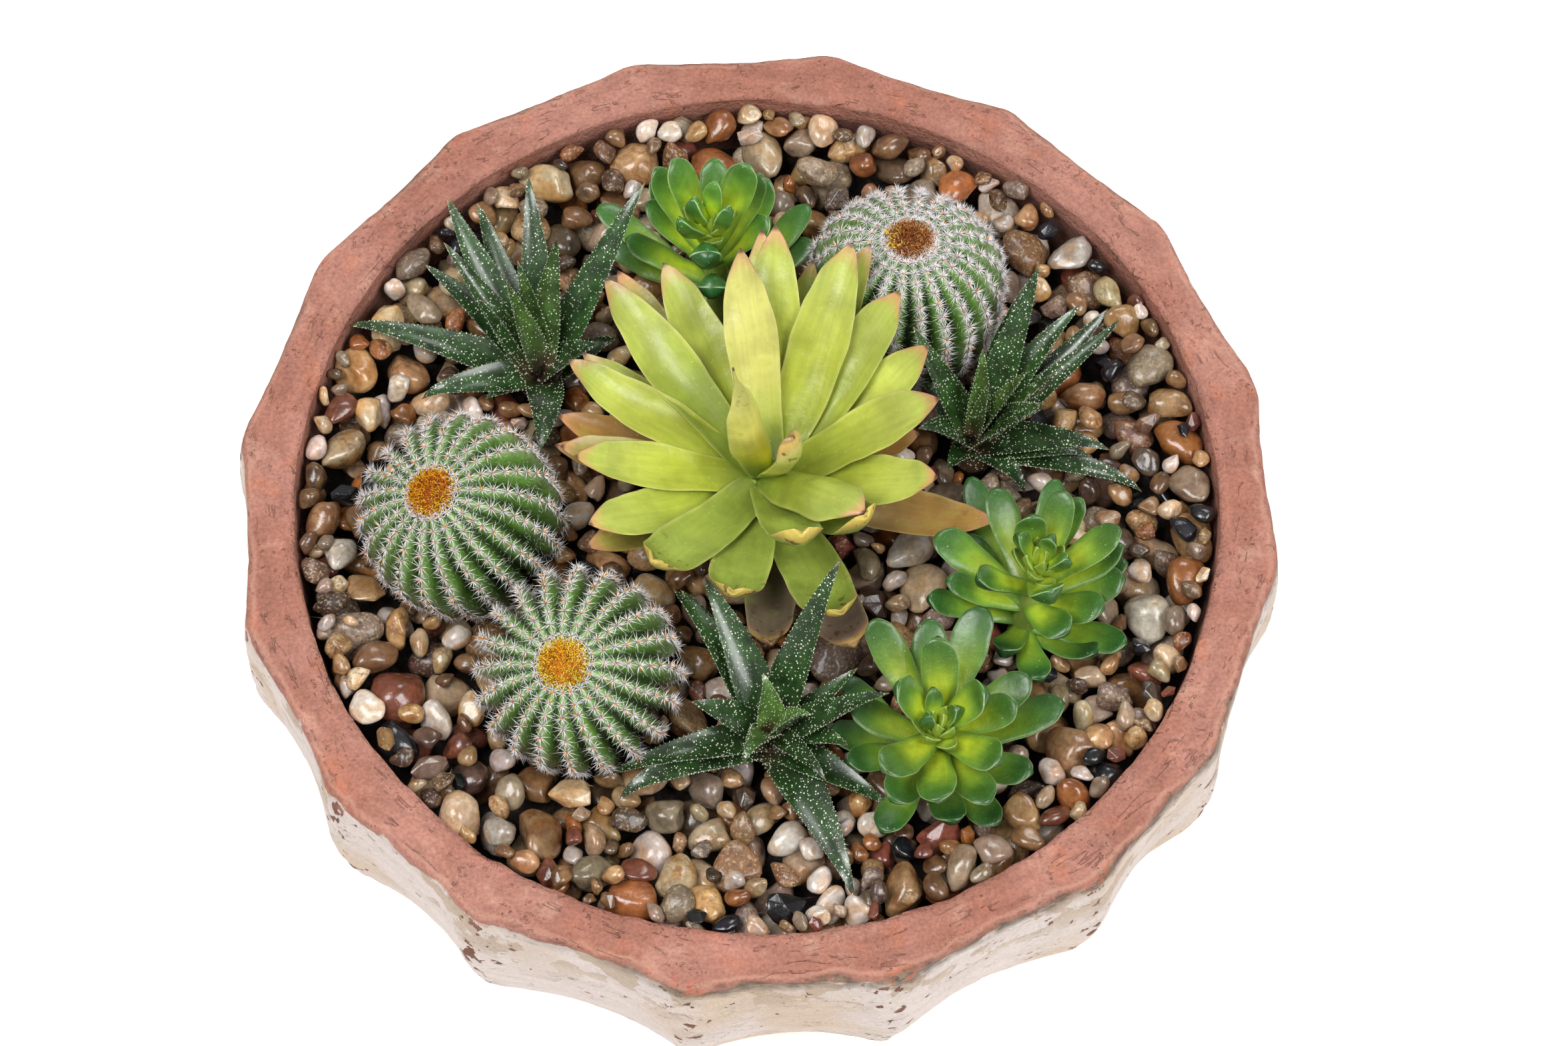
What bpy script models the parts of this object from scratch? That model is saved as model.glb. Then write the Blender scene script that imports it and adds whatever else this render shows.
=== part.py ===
"""A fluted terracotta bowl planted with succulents and barrel cacti under a layer of river pebbles.

The origin is the middle of the bowl's flat base, +Z is up and the front of the bowl faces -Y.
Lengths below are in millimetres, and angles in degrees turn from +X towards +Y.
"""

import math
import random

import bmesh
import bpy
from mathutils import Matrix, Vector

MM = 0.001
GAP = 0.3                    # clearance between pieces that touch
SHARP_DEG = 35.0             # edges that turn more than this stay crisp

# Bowl
RIM_HEIGHT = 115.0
CORNER_RADIUS = 170.0        # at the rim, centre to an arris between two flutes
FLUTES = 16
FIRST_CORNER_DEG = 287.0
CORNER_WOBBLE_DEG = (0, 0.5, -1.5, 1, 1.5, 0.5, -0.5, -0.5, -0.5, -1, 0, 0, 0, 0, -1, 2)
STRIPS_PER_FLUTE = 3
# height, how far the arris stands outside CORNER_RADIUS, and how deep the flute is
OUTER_PROFILE = (
    (0, -52, 3), (5, -45, 4), (22, -20, 6), (48, -2, 6), (80, 3, 5), (104, 1.5, 2.5), (113, 0, 1.5),
)
RIM_ROUNDING = 2.0
INNER_RADIUS = 151.0
INNER_PROFILE = ((113, -1), (84, -4), (40, -22), (20, -46), (14, -60))   # height, step from INNER_RADIUS

# Filling
SOIL_TOP = 88.0
PEBBLE_SLAB_TOP = 94.0
NECK_SIDES = 8               # necks and their holes share their sides, so the gap stays even
CLEARING_SIDES = 10
NECK_TAPER = 0.8             # a neck's foot and a core's crown, as shares of their full radius
CORE_TAPER = 0.6
LEAF_SOLVER = "MANIFOLD"     # EXACT leaves slivers where many leaf roots cross
NECK_FOOT = 70.0             # how deep the plants' necks reach down into the soil
PEBBLE_HALF = (10.8, 12.5)   # half length of a pebble, shortest and longest
PEBBLE_RISE = (7.0, 10.0)    # how far a pebble stands above the slab, lowest and highest
WALL_RISE = 5.0              # how much higher the pebbles beside the wall stand
PEBBLE_ROOT = 3.0            # how far it reaches down into the slab
PEBBLE_WIDTH = 0.86          # its width as a share of its length
PEBBLE_DENT = 0.12           # how much its outline varies, as a share of its length
PEBBLE_SHOULDER = (0.4, 0.96)   # height and outline of its widest ring above the slab, as shares
PEBBLE_CREST = 0.5           # outline of its top, as a share
PEBBLE_SPACING = 21.8
PEBBLE_NEAREST = 13.0        # two pebbles' middles come no closer than this
PEBBLE_SHIFT = 1.5           # how far a pebble may lie from its even place
PEBBLE_SIDES = 5
PEBBLE_SEED = 7
CUTTER_DEPTH = 5.0           # how far the cutters of holes and clearings reach past a face

# Each leafy plant: foot and crown of its stem, neck radius, radius of the clearing in the pebbles,
# radius of its core, and its leaves as (azimuth of the tip from the foot, reach, tip height,
# root height, width)
ROSETTE = {
    "foot": (3, 5, 96), "crown": (3, 5, 128), "neck": 9, "clearing": 15, "core": 12,
    "leaves": (
        (146, 14, 180, 122, 15), (320, 14, 160, 124, 14), (313, 42, 166, 120, 18), (284, 48, 164, 116, 19),
        (312, 51, 160, 113, 19), (345, 57, 153, 116, 19), (13, 54, 158, 116, 18), (33, 61, 152, 113, 18),
        (51, 65, 158, 116, 18), (69, 68, 164, 116, 19), (90, 70, 162, 116, 18), (102, 59, 168, 119, 17),
        (66, 73, 158, 112, 15), (94, 79, 143, 108, 14), (120, 74, 145, 112, 18), (136, 77, 150, 116, 18),
        (128, 84, 134, 108, 15), (160, 70, 148, 115, 17), (152, 70, 138, 109, 15), (188, 62, 148, 115, 17),
        (179, 67, 134, 110, 16), (166, 71, 124, 106, 15), (175, 70, 124, 107, 14), (210, 65, 148, 114, 18),
        (210, 66, 133, 109, 16), (234, 63, 148, 114, 19), (260, 62, 150, 114, 19), (292, 69, 143, 112, 20),
        (273, 66, 130, 108, 17), (295, 72, 130, 108, 18), (349, 76, 121, 109, 17), (17, 50, 128, 108, 15),
        (81, 72, 138, 109, 12),
    ),
}
HAWORTHIAS = {
    "haworthia_left": {
        "foot": (-73, 46, 96), "crown": (-73, 46, 112), "neck": 6, "clearing": 11, "core": 8,
        "leaves": (
            (168, 67, 114, 105, 13), (197, 41, 113, 106, 12), (144, 49, 126, 106, 12),
            (137, 44, 140, 108, 10), (125, 57, 140, 106, 14), (115, 55, 132, 104, 13),
            (97, 53, 146, 106, 13), (80, 28, 151, 110, 11), (56, 56, 155, 106, 13),
            (3, 19, 128, 107, 11), (134, 15, 149, 112, 9), (111, 21, 147, 110, 9),
            (151, 21, 138, 109, 7), (273, 34, 120, 105, 13), (28, 27, 112, 103, 11),
            (211, 21, 109, 103, 9),
        ),
    },
    "haworthia_right": {
        "foot": (70, 27, 96), "crown": (70, 27, 112), "neck": 6, "clearing": 11, "core": 8,
        "leaves": (
            (67, 46, 152, 106, 13), (70, 47, 141, 104, 12), (47, 47, 142, 106, 12),
            (41, 55, 136, 105, 12), (36, 54, 128, 103, 11), (32, 54, 143, 106, 10),
            (340, 22, 150, 109, 13), (346, 43, 130, 106, 13), (349, 38, 119, 104, 11),
            (344, 58, 112, 105, 12), (314, 25, 111, 105, 11), (139, 30, 149, 108, 11),
            (199, 19, 130, 107, 12), (89, 12, 150, 112, 8), (58, 6, 140, 113, 6),
            (20, 16, 149, 112, 7), (14, 25, 147, 110, 8), (133, 26, 114, 103, 11),
            (233, 14, 110, 103, 10),
        ),
    },
    "haworthia_front": {
        "foot": (7, -80, 96), "crown": (7, -80, 112), "neck": 6, "clearing": 11, "core": 8,
        "leaves": (
            (62, 40, 163, 107, 13), (118, 49, 132, 105, 14), (128, 53, 126, 104, 13),
            (123, 56, 116, 103, 11), (175, 25, 127, 107, 13), (199, 53, 113, 106, 12),
            (207, 53, 112, 103, 15), (298, 60, 110, 104, 15), (328, 44, 113, 103, 13),
            (4, 35, 141, 106, 12), (31, 31, 127, 104, 10), (342, 26, 121, 105, 12),
            (310, 27, 126, 108, 8), (108, 7, 137, 112, 10), (350, 11, 132, 111, 9),
            (245, 18, 128, 110, 9),
        ),
    },
}
SEDUMS = {
    "finger_sedum_back": {
        "foot": (-14, 73, 96), "crown": (-19, 82, 148), "neck": 4.5, "clearing": 7, "core": 4.5,
        "leaves": (
            (146, 52, 121, 112, 10), (157, 36, 127, 118, 10), (145, 32, 144, 126, 10),
            (129, 28, 166, 136, 12), (132, 36, 152, 128, 10), (132, 38, 141, 120, 10),
            (73, 23, 166, 136, 12), (68, 28, 152, 128, 10), (66, 33, 142, 121, 10),
            (98, 40, 138, 118, 11), (48, 21, 142, 128, 10), (51, 42, 121, 109, 10),
            (37, 36, 117, 107, 10), (224, 8, 153, 130, 11), (244, 9, 137, 118, 11),
            (154, 43, 115, 107, 11), (106, 13, 168, 146, 7), (176, 15, 163, 144, 7),
            (144, 13, 166, 146, 6), (75, 4, 166, 145, 7),
        ),
    },
    "finger_sedum_right": {
        "foot": (86, -38, 96), "crown": (90, -32, 140), "neck": 4.5, "clearing": 8, "core": 4.5,
        "leaves": (
            (89, 18, 153, 132, 11), (69, 31, 147, 128, 11), (62, 37, 136, 122, 10),
            (77, 46, 123, 112, 10), (29, 33, 147, 128, 12), (29, 36, 131, 120, 10),
            (26, 37, 122, 113, 10), (13, 33, 130, 118, 12), (354, 25, 130, 118, 12),
            (306, 12, 152, 130, 12), (317, 18, 132, 118, 12), (346, 35, 113, 106, 12),
            (335, 27, 112, 103, 12), (105, 39, 130, 118, 11), (110, 52, 114, 105, 10),
            (145, 35, 130, 118, 13), (126, 32, 118, 110, 10), (180, 16, 142, 126, 10),
            (170, 25, 130, 116, 10), (178, 31, 121, 108, 10), (288, 22, 111, 105, 11),
            (244, 15, 116, 106, 10), (56, 12, 154, 138, 6), (110, 10, 155, 138, 6),
            (10, 12, 154, 137, 6),
        ),
    },
    "finger_sedum_front": {
        "foot": (59, -85, 96), "crown": (59, -88, 138), "neck": 4.5, "clearing": 8, "core": 4.5,
        "leaves": (
            (124, 38, 141, 126, 12), (95, 35, 135, 118, 12), (93, 21, 153, 132, 13),
            (71, 42, 136, 118, 13), (164, 14, 155, 135, 12), (12, 15, 155, 135, 13),
            (29, 33, 136, 122, 12), (9, 25, 143, 128, 12), (17, 42, 126, 114, 13),
            (319, 26, 146, 130, 13), (338, 33, 126, 116, 12), (302, 31, 136, 122, 12),
            (310, 33, 113, 108, 11), (270, 29, 141, 126, 13), (284, 27, 116, 108, 12),
            (234, 28, 151, 132, 13), (242, 29, 133, 120, 13), (241, 33, 113, 108, 12),
            (165, 28, 128, 120, 12), (175, 34, 116, 108, 12), (198, 29, 121, 112, 11),
            (144, 37, 116, 108, 10), (110, 5, 150, 136, 6), (230, 6, 149, 135, 6),
            (350, 6, 149, 135, 6),
        ),
    },
}

# How far a leaf's middle is pulled up from straight, or down if it is negative
ROSETTE_ARCH = -5.0
HAWORTHIA_ARCH = 3.0
SEDUM_ARCH = -3.0

# Each barrel cactus: middle of the body, way and amount that it leans, and number of ribs
CACTI = {
    "left": {"middle": (-94, -13, 117), "lean_to_deg": 203, "lean_deg": 20, "ribs": 21},
    "front": {"middle": (-53.5, -67.5, 122), "lean_to_deg": 243, "lean_deg": 20, "ribs": 20},
    "back": {"middle": (46, 75, 119), "lean_to_deg": 90, "lean_deg": 8, "ribs": 22},
}
CACTUS_RADIUS = 32.0
RIB_DEPTH = 9.0
# height above the body's middle and radius, both as shares of CACTUS_RADIUS
CACTUS_PROFILE = (
    (-0.82, 0.3), (-0.64, 0.7), (-0.2, 0.97), (0.3, 0.99), (0.64, 0.83), (0.83, 0.57), (0.9, 0.28),
)
CACTUS_NECK = 9.0
CACTUS_CLEARING = (21.0, 34.0)   # radius of the clearing at the body's foot and at its middle
SPINE_LENGTH = 4.0
SPINE_ROOT = 1.6                 # how far a spine reaches into its crest
SPINE_RADIUS = 0.45
SPINE_ROWS = (0.1, 0.42, 0.7)    # heights on the body, as shares of CACTUS_RADIUS
WOOL_RADIUS = 8.5
WOOL_HEIGHT = 3.0
WOOL_PROFILE = ((0, 1), (0.55, 0.85), (0.9, 0.5), (1, 0.15))   # height and radius, as shares
WOOL_SIDES = 10
WOOL_TUFTS = 8
TUFT_SPREAD = 6.4
TUFT_HEIGHT = 2.2
TUFT_RADIUS = 1.2
GOLDEN_ANGLE_DEG = 137.5

COLOURS = {
    "bowl": ((0.72, 0.42, 0.31), 0.85),
    "potting_soil": ((0.05, 0.035, 0.025), 0.95),
    "pebble_layer": ((0.42, 0.27, 0.16), 0.3),
    "golden_rosette": ((0.6, 0.65, 0.1), 0.4),
    "haworthia": ((0.06, 0.16, 0.06), 0.5),
    "finger_sedum": ((0.2, 0.45, 0.06), 0.35),
    "barrel_cactus": ((0.16, 0.3, 0.1), 0.6),
    "wool_crown": ((0.75, 0.38, 0.06), 0.9),
}


def clear_scene():
    for obj in list(bpy.data.objects):
        bpy.data.objects.remove(obj, do_unlink=True)


def make_material(name):
    colour, roughness = COLOURS[name]
    material = bpy.data.materials.new(name)
    material.use_nodes = True
    shader = material.node_tree.nodes["Principled BSDF"]
    shader.inputs["Base Color"].default_value = (*colour, 1)
    shader.inputs["Roughness"].default_value = roughness
    shader.inputs["Metallic"].default_value = 0
    material.diffuse_color = (*colour, 1)
    return material


def add_object(name, vertices, faces):
    """An object from points in millimetres, with its faces turned outward."""
    mesh = bpy.data.meshes.new(name)
    mesh.from_pydata([[c * MM for c in v] for v in vertices], [], faces)
    bm = bmesh.new()
    bm.from_mesh(mesh)
    bmesh.ops.recalc_face_normals(bm, faces=bm.faces)
    bm.to_mesh(mesh)
    bm.free()
    obj = bpy.data.objects.new(name, mesh)
    bpy.context.scene.collection.objects.link(obj)
    return obj


def combine(base, operands, operation, solver="EXACT"):
    """Joins or cuts base with all the operands in one Boolean, then removes them."""
    collection = bpy.data.collections.new("operands")
    bpy.context.scene.collection.children.link(collection)
    for obj in operands:
        for owner in list(obj.users_collection):
            owner.objects.unlink(obj)
        collection.objects.link(obj)
        obj.hide_render = True
        obj.display_type = "WIRE"
    modifier = base.modifiers.new("combine", "BOOLEAN")
    modifier.operation = operation
    modifier.operand_type = "COLLECTION"
    modifier.collection = collection
    modifier.solver = solver
    depsgraph = bpy.context.evaluated_depsgraph_get()
    mesh = bpy.data.meshes.new_from_object(base.evaluated_get(depsgraph))
    keep_outer_shell(mesh)
    base.modifiers.clear()
    base.data = mesh
    for obj in list(collection.objects):
        bpy.data.objects.remove(obj, do_unlink=True)
    bpy.data.collections.remove(collection)
    return base


def keep_outer_shell(mesh):
    """Fills hollows that joining has sealed, and drops loose scraps: the widest shell alone stays."""
    bm = bmesh.new()
    bm.from_mesh(mesh)
    unseen = set(bm.verts)
    shells = []
    while unseen:
        shell, edge = set(), {next(iter(unseen))}
        while edge:
            shell |= edge
            edge = {e.other_vert(v) for v in edge for e in v.link_edges} - shell
        unseen -= shell
        shells.append(shell)
    shells.sort(key=len)
    bmesh.ops.delete(bm, geom=[v for shell in shells[:-1] for v in shell], context="VERTS")
    bm.to_mesh(mesh)
    bm.free()


def finish(obj, material):
    obj.data.materials.clear()
    obj.data.materials.append(material)
    obj.data.shade_smooth()
    obj.data.set_sharp_from_angle(angle=math.radians(SHARP_DEG))
    return obj


def ring_solid(name, rings):
    """A closed solid through rings of equally many points, capped at both ends."""
    count = len(rings[0])
    vertices = [point for ring in rings for point in ring]
    faces = []
    for low in range(0, (len(rings) - 1) * count, count):
        high = low + count
        for i in range(count):
            j = (i + 1) % count
            faces.append((low + i, low + j, high + j, high + i))
    faces.append(tuple(range(count)))
    faces.append(tuple(range((len(rings) - 1) * count, len(rings) * count)))
    return add_object(name, vertices, faces)


def polar(radius, degrees, height):
    angle = math.radians(degrees)
    return (radius * math.cos(angle), radius * math.sin(angle), height)


def cylinder(name, centre, radius, low, high, sides=NECK_SIDES):
    x, y = centre
    rings = []
    for height in (low, high):
        ring = [polar(radius, 360 * i / sides, height) for i in range(sides)]
        rings.append([(x + px, y + py, pz) for px, py, pz in ring])
    return ring_solid(name, rings)


def corner_angles():
    step = 360 / FLUTES
    return [FIRST_CORNER_DEG + i * step + CORNER_WOBBLE_DEG[-i % FLUTES] for i in range(FLUTES)]


def bowl_columns():
    """Angle of each strip's edge and its place within its flute, 0 to 1."""
    corners = corner_angles()
    columns = []
    for i, start in enumerate(corners):
        end = corners[(i + 1) % FLUTES] + (360 if i == FLUTES - 1 else 0)
        for k in range(STRIPS_PER_FLUTE):
            share = k / STRIPS_PER_FLUTE
            columns.append((start + (end - start) * share, share, end - start))
    return columns


def fluted_radius(corner, depth, share, span):
    """Radius on a shallow inward curve between two arrises at radius corner."""
    half = math.radians(span / 2)
    turn = math.radians(span) * (share - 0.5)
    chord = corner * math.cos(half) / math.cos(turn)
    return chord - depth * 4 * share * (1 - share)


def make_bowl():
    columns = bowl_columns()
    rings = []
    for height, step, depth in OUTER_PROFILE:
        rings.append([
            polar(fluted_radius(CORNER_RADIUS + step, depth, share, span), angle, height)
            for angle, share, span in columns
        ])
    depth = OUTER_PROFILE[-1][2]
    rings.append([
        polar(fluted_radius(CORNER_RADIUS - RIM_ROUNDING, depth, share, span), angle, RIM_HEIGHT)
        for angle, share, span in columns
    ])
    rings.append([polar(INNER_RADIUS + RIM_ROUNDING, angle, RIM_HEIGHT) for angle, _, _ in columns])
    for height, step in INNER_PROFILE:
        rings.append([polar(INNER_RADIUS + step, angle, height) for angle, _, _ in columns])
    return finish(ring_solid("bowl", rings), make_material("bowl"))


def inner_radius(height):
    """Radius of the bowl's inside wall at a height."""
    for (high, outer), (low, inner) in zip(INNER_PROFILE, INNER_PROFILE[1:]):
        if low <= height <= high:
            return INNER_RADIUS + inner + (outer - inner) * (height - low) / (high - low)
    return INNER_RADIUS + INNER_PROFILE[-1][1]


def filling(name, heights):
    """A solid that fills the bowl between the given heights, a gap clear of its wall."""
    angles = [angle for angle, _, _ in bowl_columns()]
    rings = [[polar(inner_radius(h) - 2 * GAP, angle, h) for angle in angles] for h in heights]
    return ring_solid(name, rings)


def leafy_plants():
    return [ROSETTE, *HAWORTHIAS.values(), *SEDUMS.values()]


def necks():
    """Place and radius of every plant's neck."""
    leafy = [(plant["foot"][:2], plant["neck"]) for plant in leafy_plants()]
    return leafy + [(cactus_foot(cactus), CACTUS_NECK) for cactus in CACTI.values()]


def clearings():
    """Place and radius of every plant's clearing in the pebbles."""
    leafy = [(plant["foot"][:2], plant["clearing"]) for plant in leafy_plants()]
    return leafy + [(cactus["middle"][:2], CACTUS_CLEARING[1]) for cactus in CACTI.values()]


def make_soil():
    floor = INNER_PROFILE[-1][0]
    inside = [height for height, _ in INNER_PROFILE if floor < height < SOIL_TOP]
    soil = filling("potting_soil", [floor + GAP, *sorted(inside), SOIL_TOP])
    holes = [
        cylinder("hole", centre, neck + GAP, NECK_FOOT - GAP, SOIL_TOP + CUTTER_DEPTH)
        for centre, neck in necks()
    ]
    return finish(combine(soil, holes, "DIFFERENCE"), make_material("potting_soil"))


def clear_of_plants(x, y):
    """A pebble's place moved out of any clearing, or None if it lies deep inside one."""
    for (cx, cy), radius in clearings():
        distance = math.hypot(x - cx, y - cy)
        wanted = radius + PEBBLE_SHIFT
        if distance < radius / 2:
            return None
        if distance < wanted:
            x = cx + (x - cx) * wanted / distance
            y = cy + (y - cy) * wanted / distance
    return x, y


def pebble_places(rng):
    """Rings of places that cover the bowl outside the clearings.

    Each comes with the way its pebble lies and how much higher than the others it stands.
    """
    edge = inner_radius(PEBBLE_SLAB_TOP) - PEBBLE_HALF[1] * PEBBLE_WIDTH - 4 * GAP
    rows = math.ceil(edge / PEBBLE_SPACING)
    places = []
    for row in range(rows + 1):
        ring = edge * row / rows
        outermost = row == rows
        count = max(1, round(2 * math.pi * ring / PEBBLE_SPACING))
        for i in range(count):
            angle = 360 * (i + 0.5 * (row % 2)) / count
            lie = angle + 90 if outermost else rng.uniform(0, 360)
            shift = 0 if outermost else rng.uniform(-PEBBLE_SHIFT, PEBBLE_SHIFT)
            x, y, _ = polar(ring + shift, angle, 0)
            place = clear_of_plants(x, y)
            if place and all(math.dist(place, other[:2]) > PEBBLE_NEAREST for other in places):
                places.append((*place, lie, WALL_RISE if outermost else 0))
    return places


def pebble_solid(rng, x, y, lie, lift):
    """A pebble's dome on a root that is sunk into the slab."""
    half = rng.uniform(*PEBBLE_HALF)
    rise = rng.uniform(*PEBBLE_RISE) + lift
    turn = Matrix.Translation((x, y, PEBBLE_SLAB_TOP)) @ Matrix.Rotation(math.radians(lie), 4, "Z")
    outline = []
    for i in range(PEBBLE_SIDES):
        px, py, _ = polar(half * (1 - rng.uniform(0, PEBBLE_DENT)), 360 * i / PEBBLE_SIDES, 0)
        outline.append((px, py * PEBBLE_WIDTH))
    shoulder, bulge = PEBBLE_SHOULDER
    levels = ((-PEBBLE_ROOT, 1.0), (rise * shoulder, bulge), (rise, PEBBLE_CREST))
    rings = []
    for height, share in levels:
        rings.append([turn @ Vector((px * share, py * share, height)) for px, py in outline])
    return ring_solid("pebble", rings)


def cactus_cutter(cactus):
    """A cone that widens and shifts with the leaning body, from its foot to its middle."""
    ends = (
        (cactus_foot(cactus), CACTUS_CLEARING[0], SOIL_TOP - CUTTER_DEPTH),
        (cactus["middle"][:2], CACTUS_CLEARING[1], PEBBLE_SLAB_TOP + PEBBLE_RISE[1] + WALL_RISE + GAP),
    )
    rings = []
    for (x, y), radius, height in ends:
        ring = [polar(radius, 360 * i / CLEARING_SIDES, height) for i in range(CLEARING_SIDES)]
        rings.append([(x + px, y + py, pz) for px, py, pz in ring])
    return ring_solid("hole", rings)


def make_pebble_layer():
    rng = random.Random(PEBBLE_SEED)
    layer = filling("pebble_layer", [SOIL_TOP + GAP, PEBBLE_SLAB_TOP])
    combine(layer, [pebble_solid(rng, *place) for place in pebble_places(rng)], "UNION")
    low, high = SOIL_TOP - CUTTER_DEPTH, PEBBLE_SLAB_TOP + PEBBLE_RISE[1] + WALL_RISE + CUTTER_DEPTH
    holes = [
        cylinder("hole", plant["foot"][:2], plant["clearing"], low, high, CLEARING_SIDES)
        for plant in leafy_plants()
    ]
    holes += [cactus_cutter(cactus) for cactus in CACTI.values()]
    combine(layer, holes, "DIFFERENCE")
    return finish(layer, make_material("pebble_layer"))


def bezier(start, middle, end, t):
    return start * (1 - t) ** 2 + middle * (2 * t * (1 - t)) + end * t**2


def leaf_solid(root, tip, outward, sections, arch):
    """A leaf along a curve from root to tip.

    sections are (place along the leaf, half width, height of its edges, upper face, lower face),
    and arch is how far the middle of the curve is pulled up.
    """
    middle = (root + tip) / 2 + Vector((0, 0, arch))
    side = outward.cross(Vector((0, 0, 1))).normalized()
    rings = []
    for t, half, edge, upper, lower in sections:
        point = bezier(root, middle, tip, t)
        along = ((middle - root) * (1 - t) + (tip - middle) * t).normalized()
        normal = side.cross(along).normalized()
        rings.append([
            point + side * half + normal * edge,
            point + normal * upper,
            point - side * half + normal * edge,
            point - normal * lower,
        ])
    return ring_solid("leaf", rings)


def stem_point(plant, height):
    foot, crown = Vector(plant["foot"]), Vector(plant["crown"])
    share = (height - foot.z) / (crown.z - foot.z)
    return foot + (crown - foot) * share


def stem_solid(plant):
    """The plant's core above the pebbles with its neck below, standing in its hole."""
    foot, crown = Vector(plant["foot"]), Vector(plant["crown"])
    levels = (
        (Vector((foot.x, foot.y, NECK_FOOT)), plant["neck"] * NECK_TAPER),
        (Vector((foot.x, foot.y, SOIL_TOP)), plant["neck"]),
        (foot, plant["neck"]),
        (foot.lerp(crown, 0.5), plant["core"]),
        (crown, plant["core"] * CORE_TAPER),
    )
    rings = []
    for centre, radius in levels:
        ring = [Vector(polar(radius, 360 * i / NECK_SIDES, 0)) for i in range(NECK_SIDES)]
        rings.append([centre + point for point in ring])
    return ring_solid("stem", rings)


def rosette_sections(width):
    """A spoon-shaped leaf: narrow root, widest past its middle, short point."""
    half = width / 2
    return (
        (0.0, half * 0.6, 0.0, 1.2, 1.8),
        (0.35, half * 0.84, 1.4, 0.9, 2.0),
        (0.65, half, 2.2, 0.6, 1.6),
        (0.88, half * 0.66, 1.2, 0.4, 1.1),
        (1.0, half * 0.08, 0.2, 0.3, 0.4),
    )


def haworthia_sections(width):
    """A tapered leaf, flat above and keeled below, that ends in a fine point."""
    half = width / 2
    return (
        (0.0, half * 0.9, 0.6, 0.8, 2.4),
        (0.32, half, 0.8, 0.6, 2.6),
        (0.7, half * 0.66, 0.6, 0.6, 2.0),
        (1.0, 0.4, 0.1, 0.2, 0.4),
    )


def sedum_sections(width):
    """A plump finger: slim root, widest near its blunt end."""
    half = width / 2
    return (
        (0.0, half * 0.5, 0.2, 1.4, 1.6),
        (0.42, half * 0.78, 0.5, 1.6, 2.4),
        (0.84, half * 0.95, 0.5, 1.7, 2.7),
        (1.0, half * 0.4, 0.1, 0.8, 1.1),
    )


def make_leafy_plant(name, plant, sections, arch, look):
    foot = Vector(plant["foot"])
    leaves = []
    for azimuth, reach, tip_height, root_height, width in plant["leaves"]:
        outward = Vector(polar(1, azimuth, 0))
        tip = Vector((foot.x, foot.y, tip_height)) + outward * reach
        root = stem_point(plant, root_height)
        outward = Vector((tip.x - root.x, tip.y - root.y, 0)).normalized()
        leaves.append(leaf_solid(root, tip, outward, sections(width), arch))
    stem = stem_solid(plant)
    stem.name = name
    return finish(combine(stem, leaves, "UNION", LEAF_SOLVER), make_material(look))


def cactus_matrix(cactus):
    lean_axis = Vector(polar(1, cactus["lean_to_deg"] + 90, 0))
    lean = Matrix.Rotation(math.radians(cactus["lean_deg"]), 4, lean_axis)
    return Matrix.Translation(cactus["middle"]) @ lean


def cactus_foot(cactus):
    """Where the leaning body meets the soil, in plan."""
    bottom = cactus_matrix(cactus) @ Vector((0, 0, CACTUS_PROFILE[0][0] * CACTUS_RADIUS))
    return bottom.x, bottom.y


def cactus_radius(share):
    """Radius of the body at a height, both as shares of CACTUS_RADIUS."""
    for (low, inner), (high, outer) in zip(CACTUS_PROFILE, CACTUS_PROFILE[1:]):
        if low <= share <= high:
            return inner + (outer - inner) * (share - low) / (high - low)
    return CACTUS_PROFILE[-1][1]


def cactus_body(cactus):
    turn = cactus_matrix(cactus)
    count = cactus["ribs"] * 2
    rings = []
    for height, radius in CACTUS_PROFILE:
        crest = CACTUS_RADIUS * radius
        valley = crest - RIB_DEPTH * radius
        rings.append([
            turn @ Vector(polar(valley if i % 2 else crest, 360 * i / count, height * CACTUS_RADIUS))
            for i in range(count)
        ])
    return ring_solid("cactus", rings)


def spike(name, foot, tip, radius):
    """A slender three-sided spike."""
    along = (tip - foot).normalized()
    across = along.cross(Vector((0, 0, 1))).normalized()
    upward = across.cross(along)
    corners = []
    for turn in (0, 120, 240):
        a, b, _ = polar(radius, turn, 0)
        corners.append(foot + across * a + upward * b)
    return add_object(name, [*corners, tip], [(0, 1, 2), (0, 1, 3), (1, 2, 3), (2, 0, 3)])


def cactus_spines(cactus, others):
    """Spines in rows on the crests, left out where a neighbour stands."""
    turn = cactus_matrix(cactus)
    spines = []
    for row, height in enumerate(SPINE_ROWS):
        for rib in range(row % 2, cactus["ribs"], 2):
            angle = 360 * rib / cactus["ribs"]
            point = Vector(polar(CACTUS_RADIUS * cactus_radius(height), angle, height * CACTUS_RADIUS))
            outward = Vector(polar(1, angle, height)).normalized()
            foot, tip = turn @ (point - outward * SPINE_ROOT), turn @ (point + outward * SPINE_LENGTH)
            if all((tip - other).length > CACTUS_RADIUS + SPINE_LENGTH for other in others):
                spines.append(spike("spine", foot, tip, SPINE_RADIUS))
    return spines


def make_cactus(name, cactus):
    others = [Vector(other["middle"]) for other in CACTI.values() if other is not cactus]
    body = cactus_body(cactus)
    body.name = name
    low = cactus["middle"][2] - CACTUS_RADIUS / 3
    neck = cylinder("neck", cactus_foot(cactus), CACTUS_NECK, NECK_FOOT, low)
    combine(body, [neck, *cactus_spines(cactus, others)], "UNION")
    return finish(body, make_material("barrel_cactus"))


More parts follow.
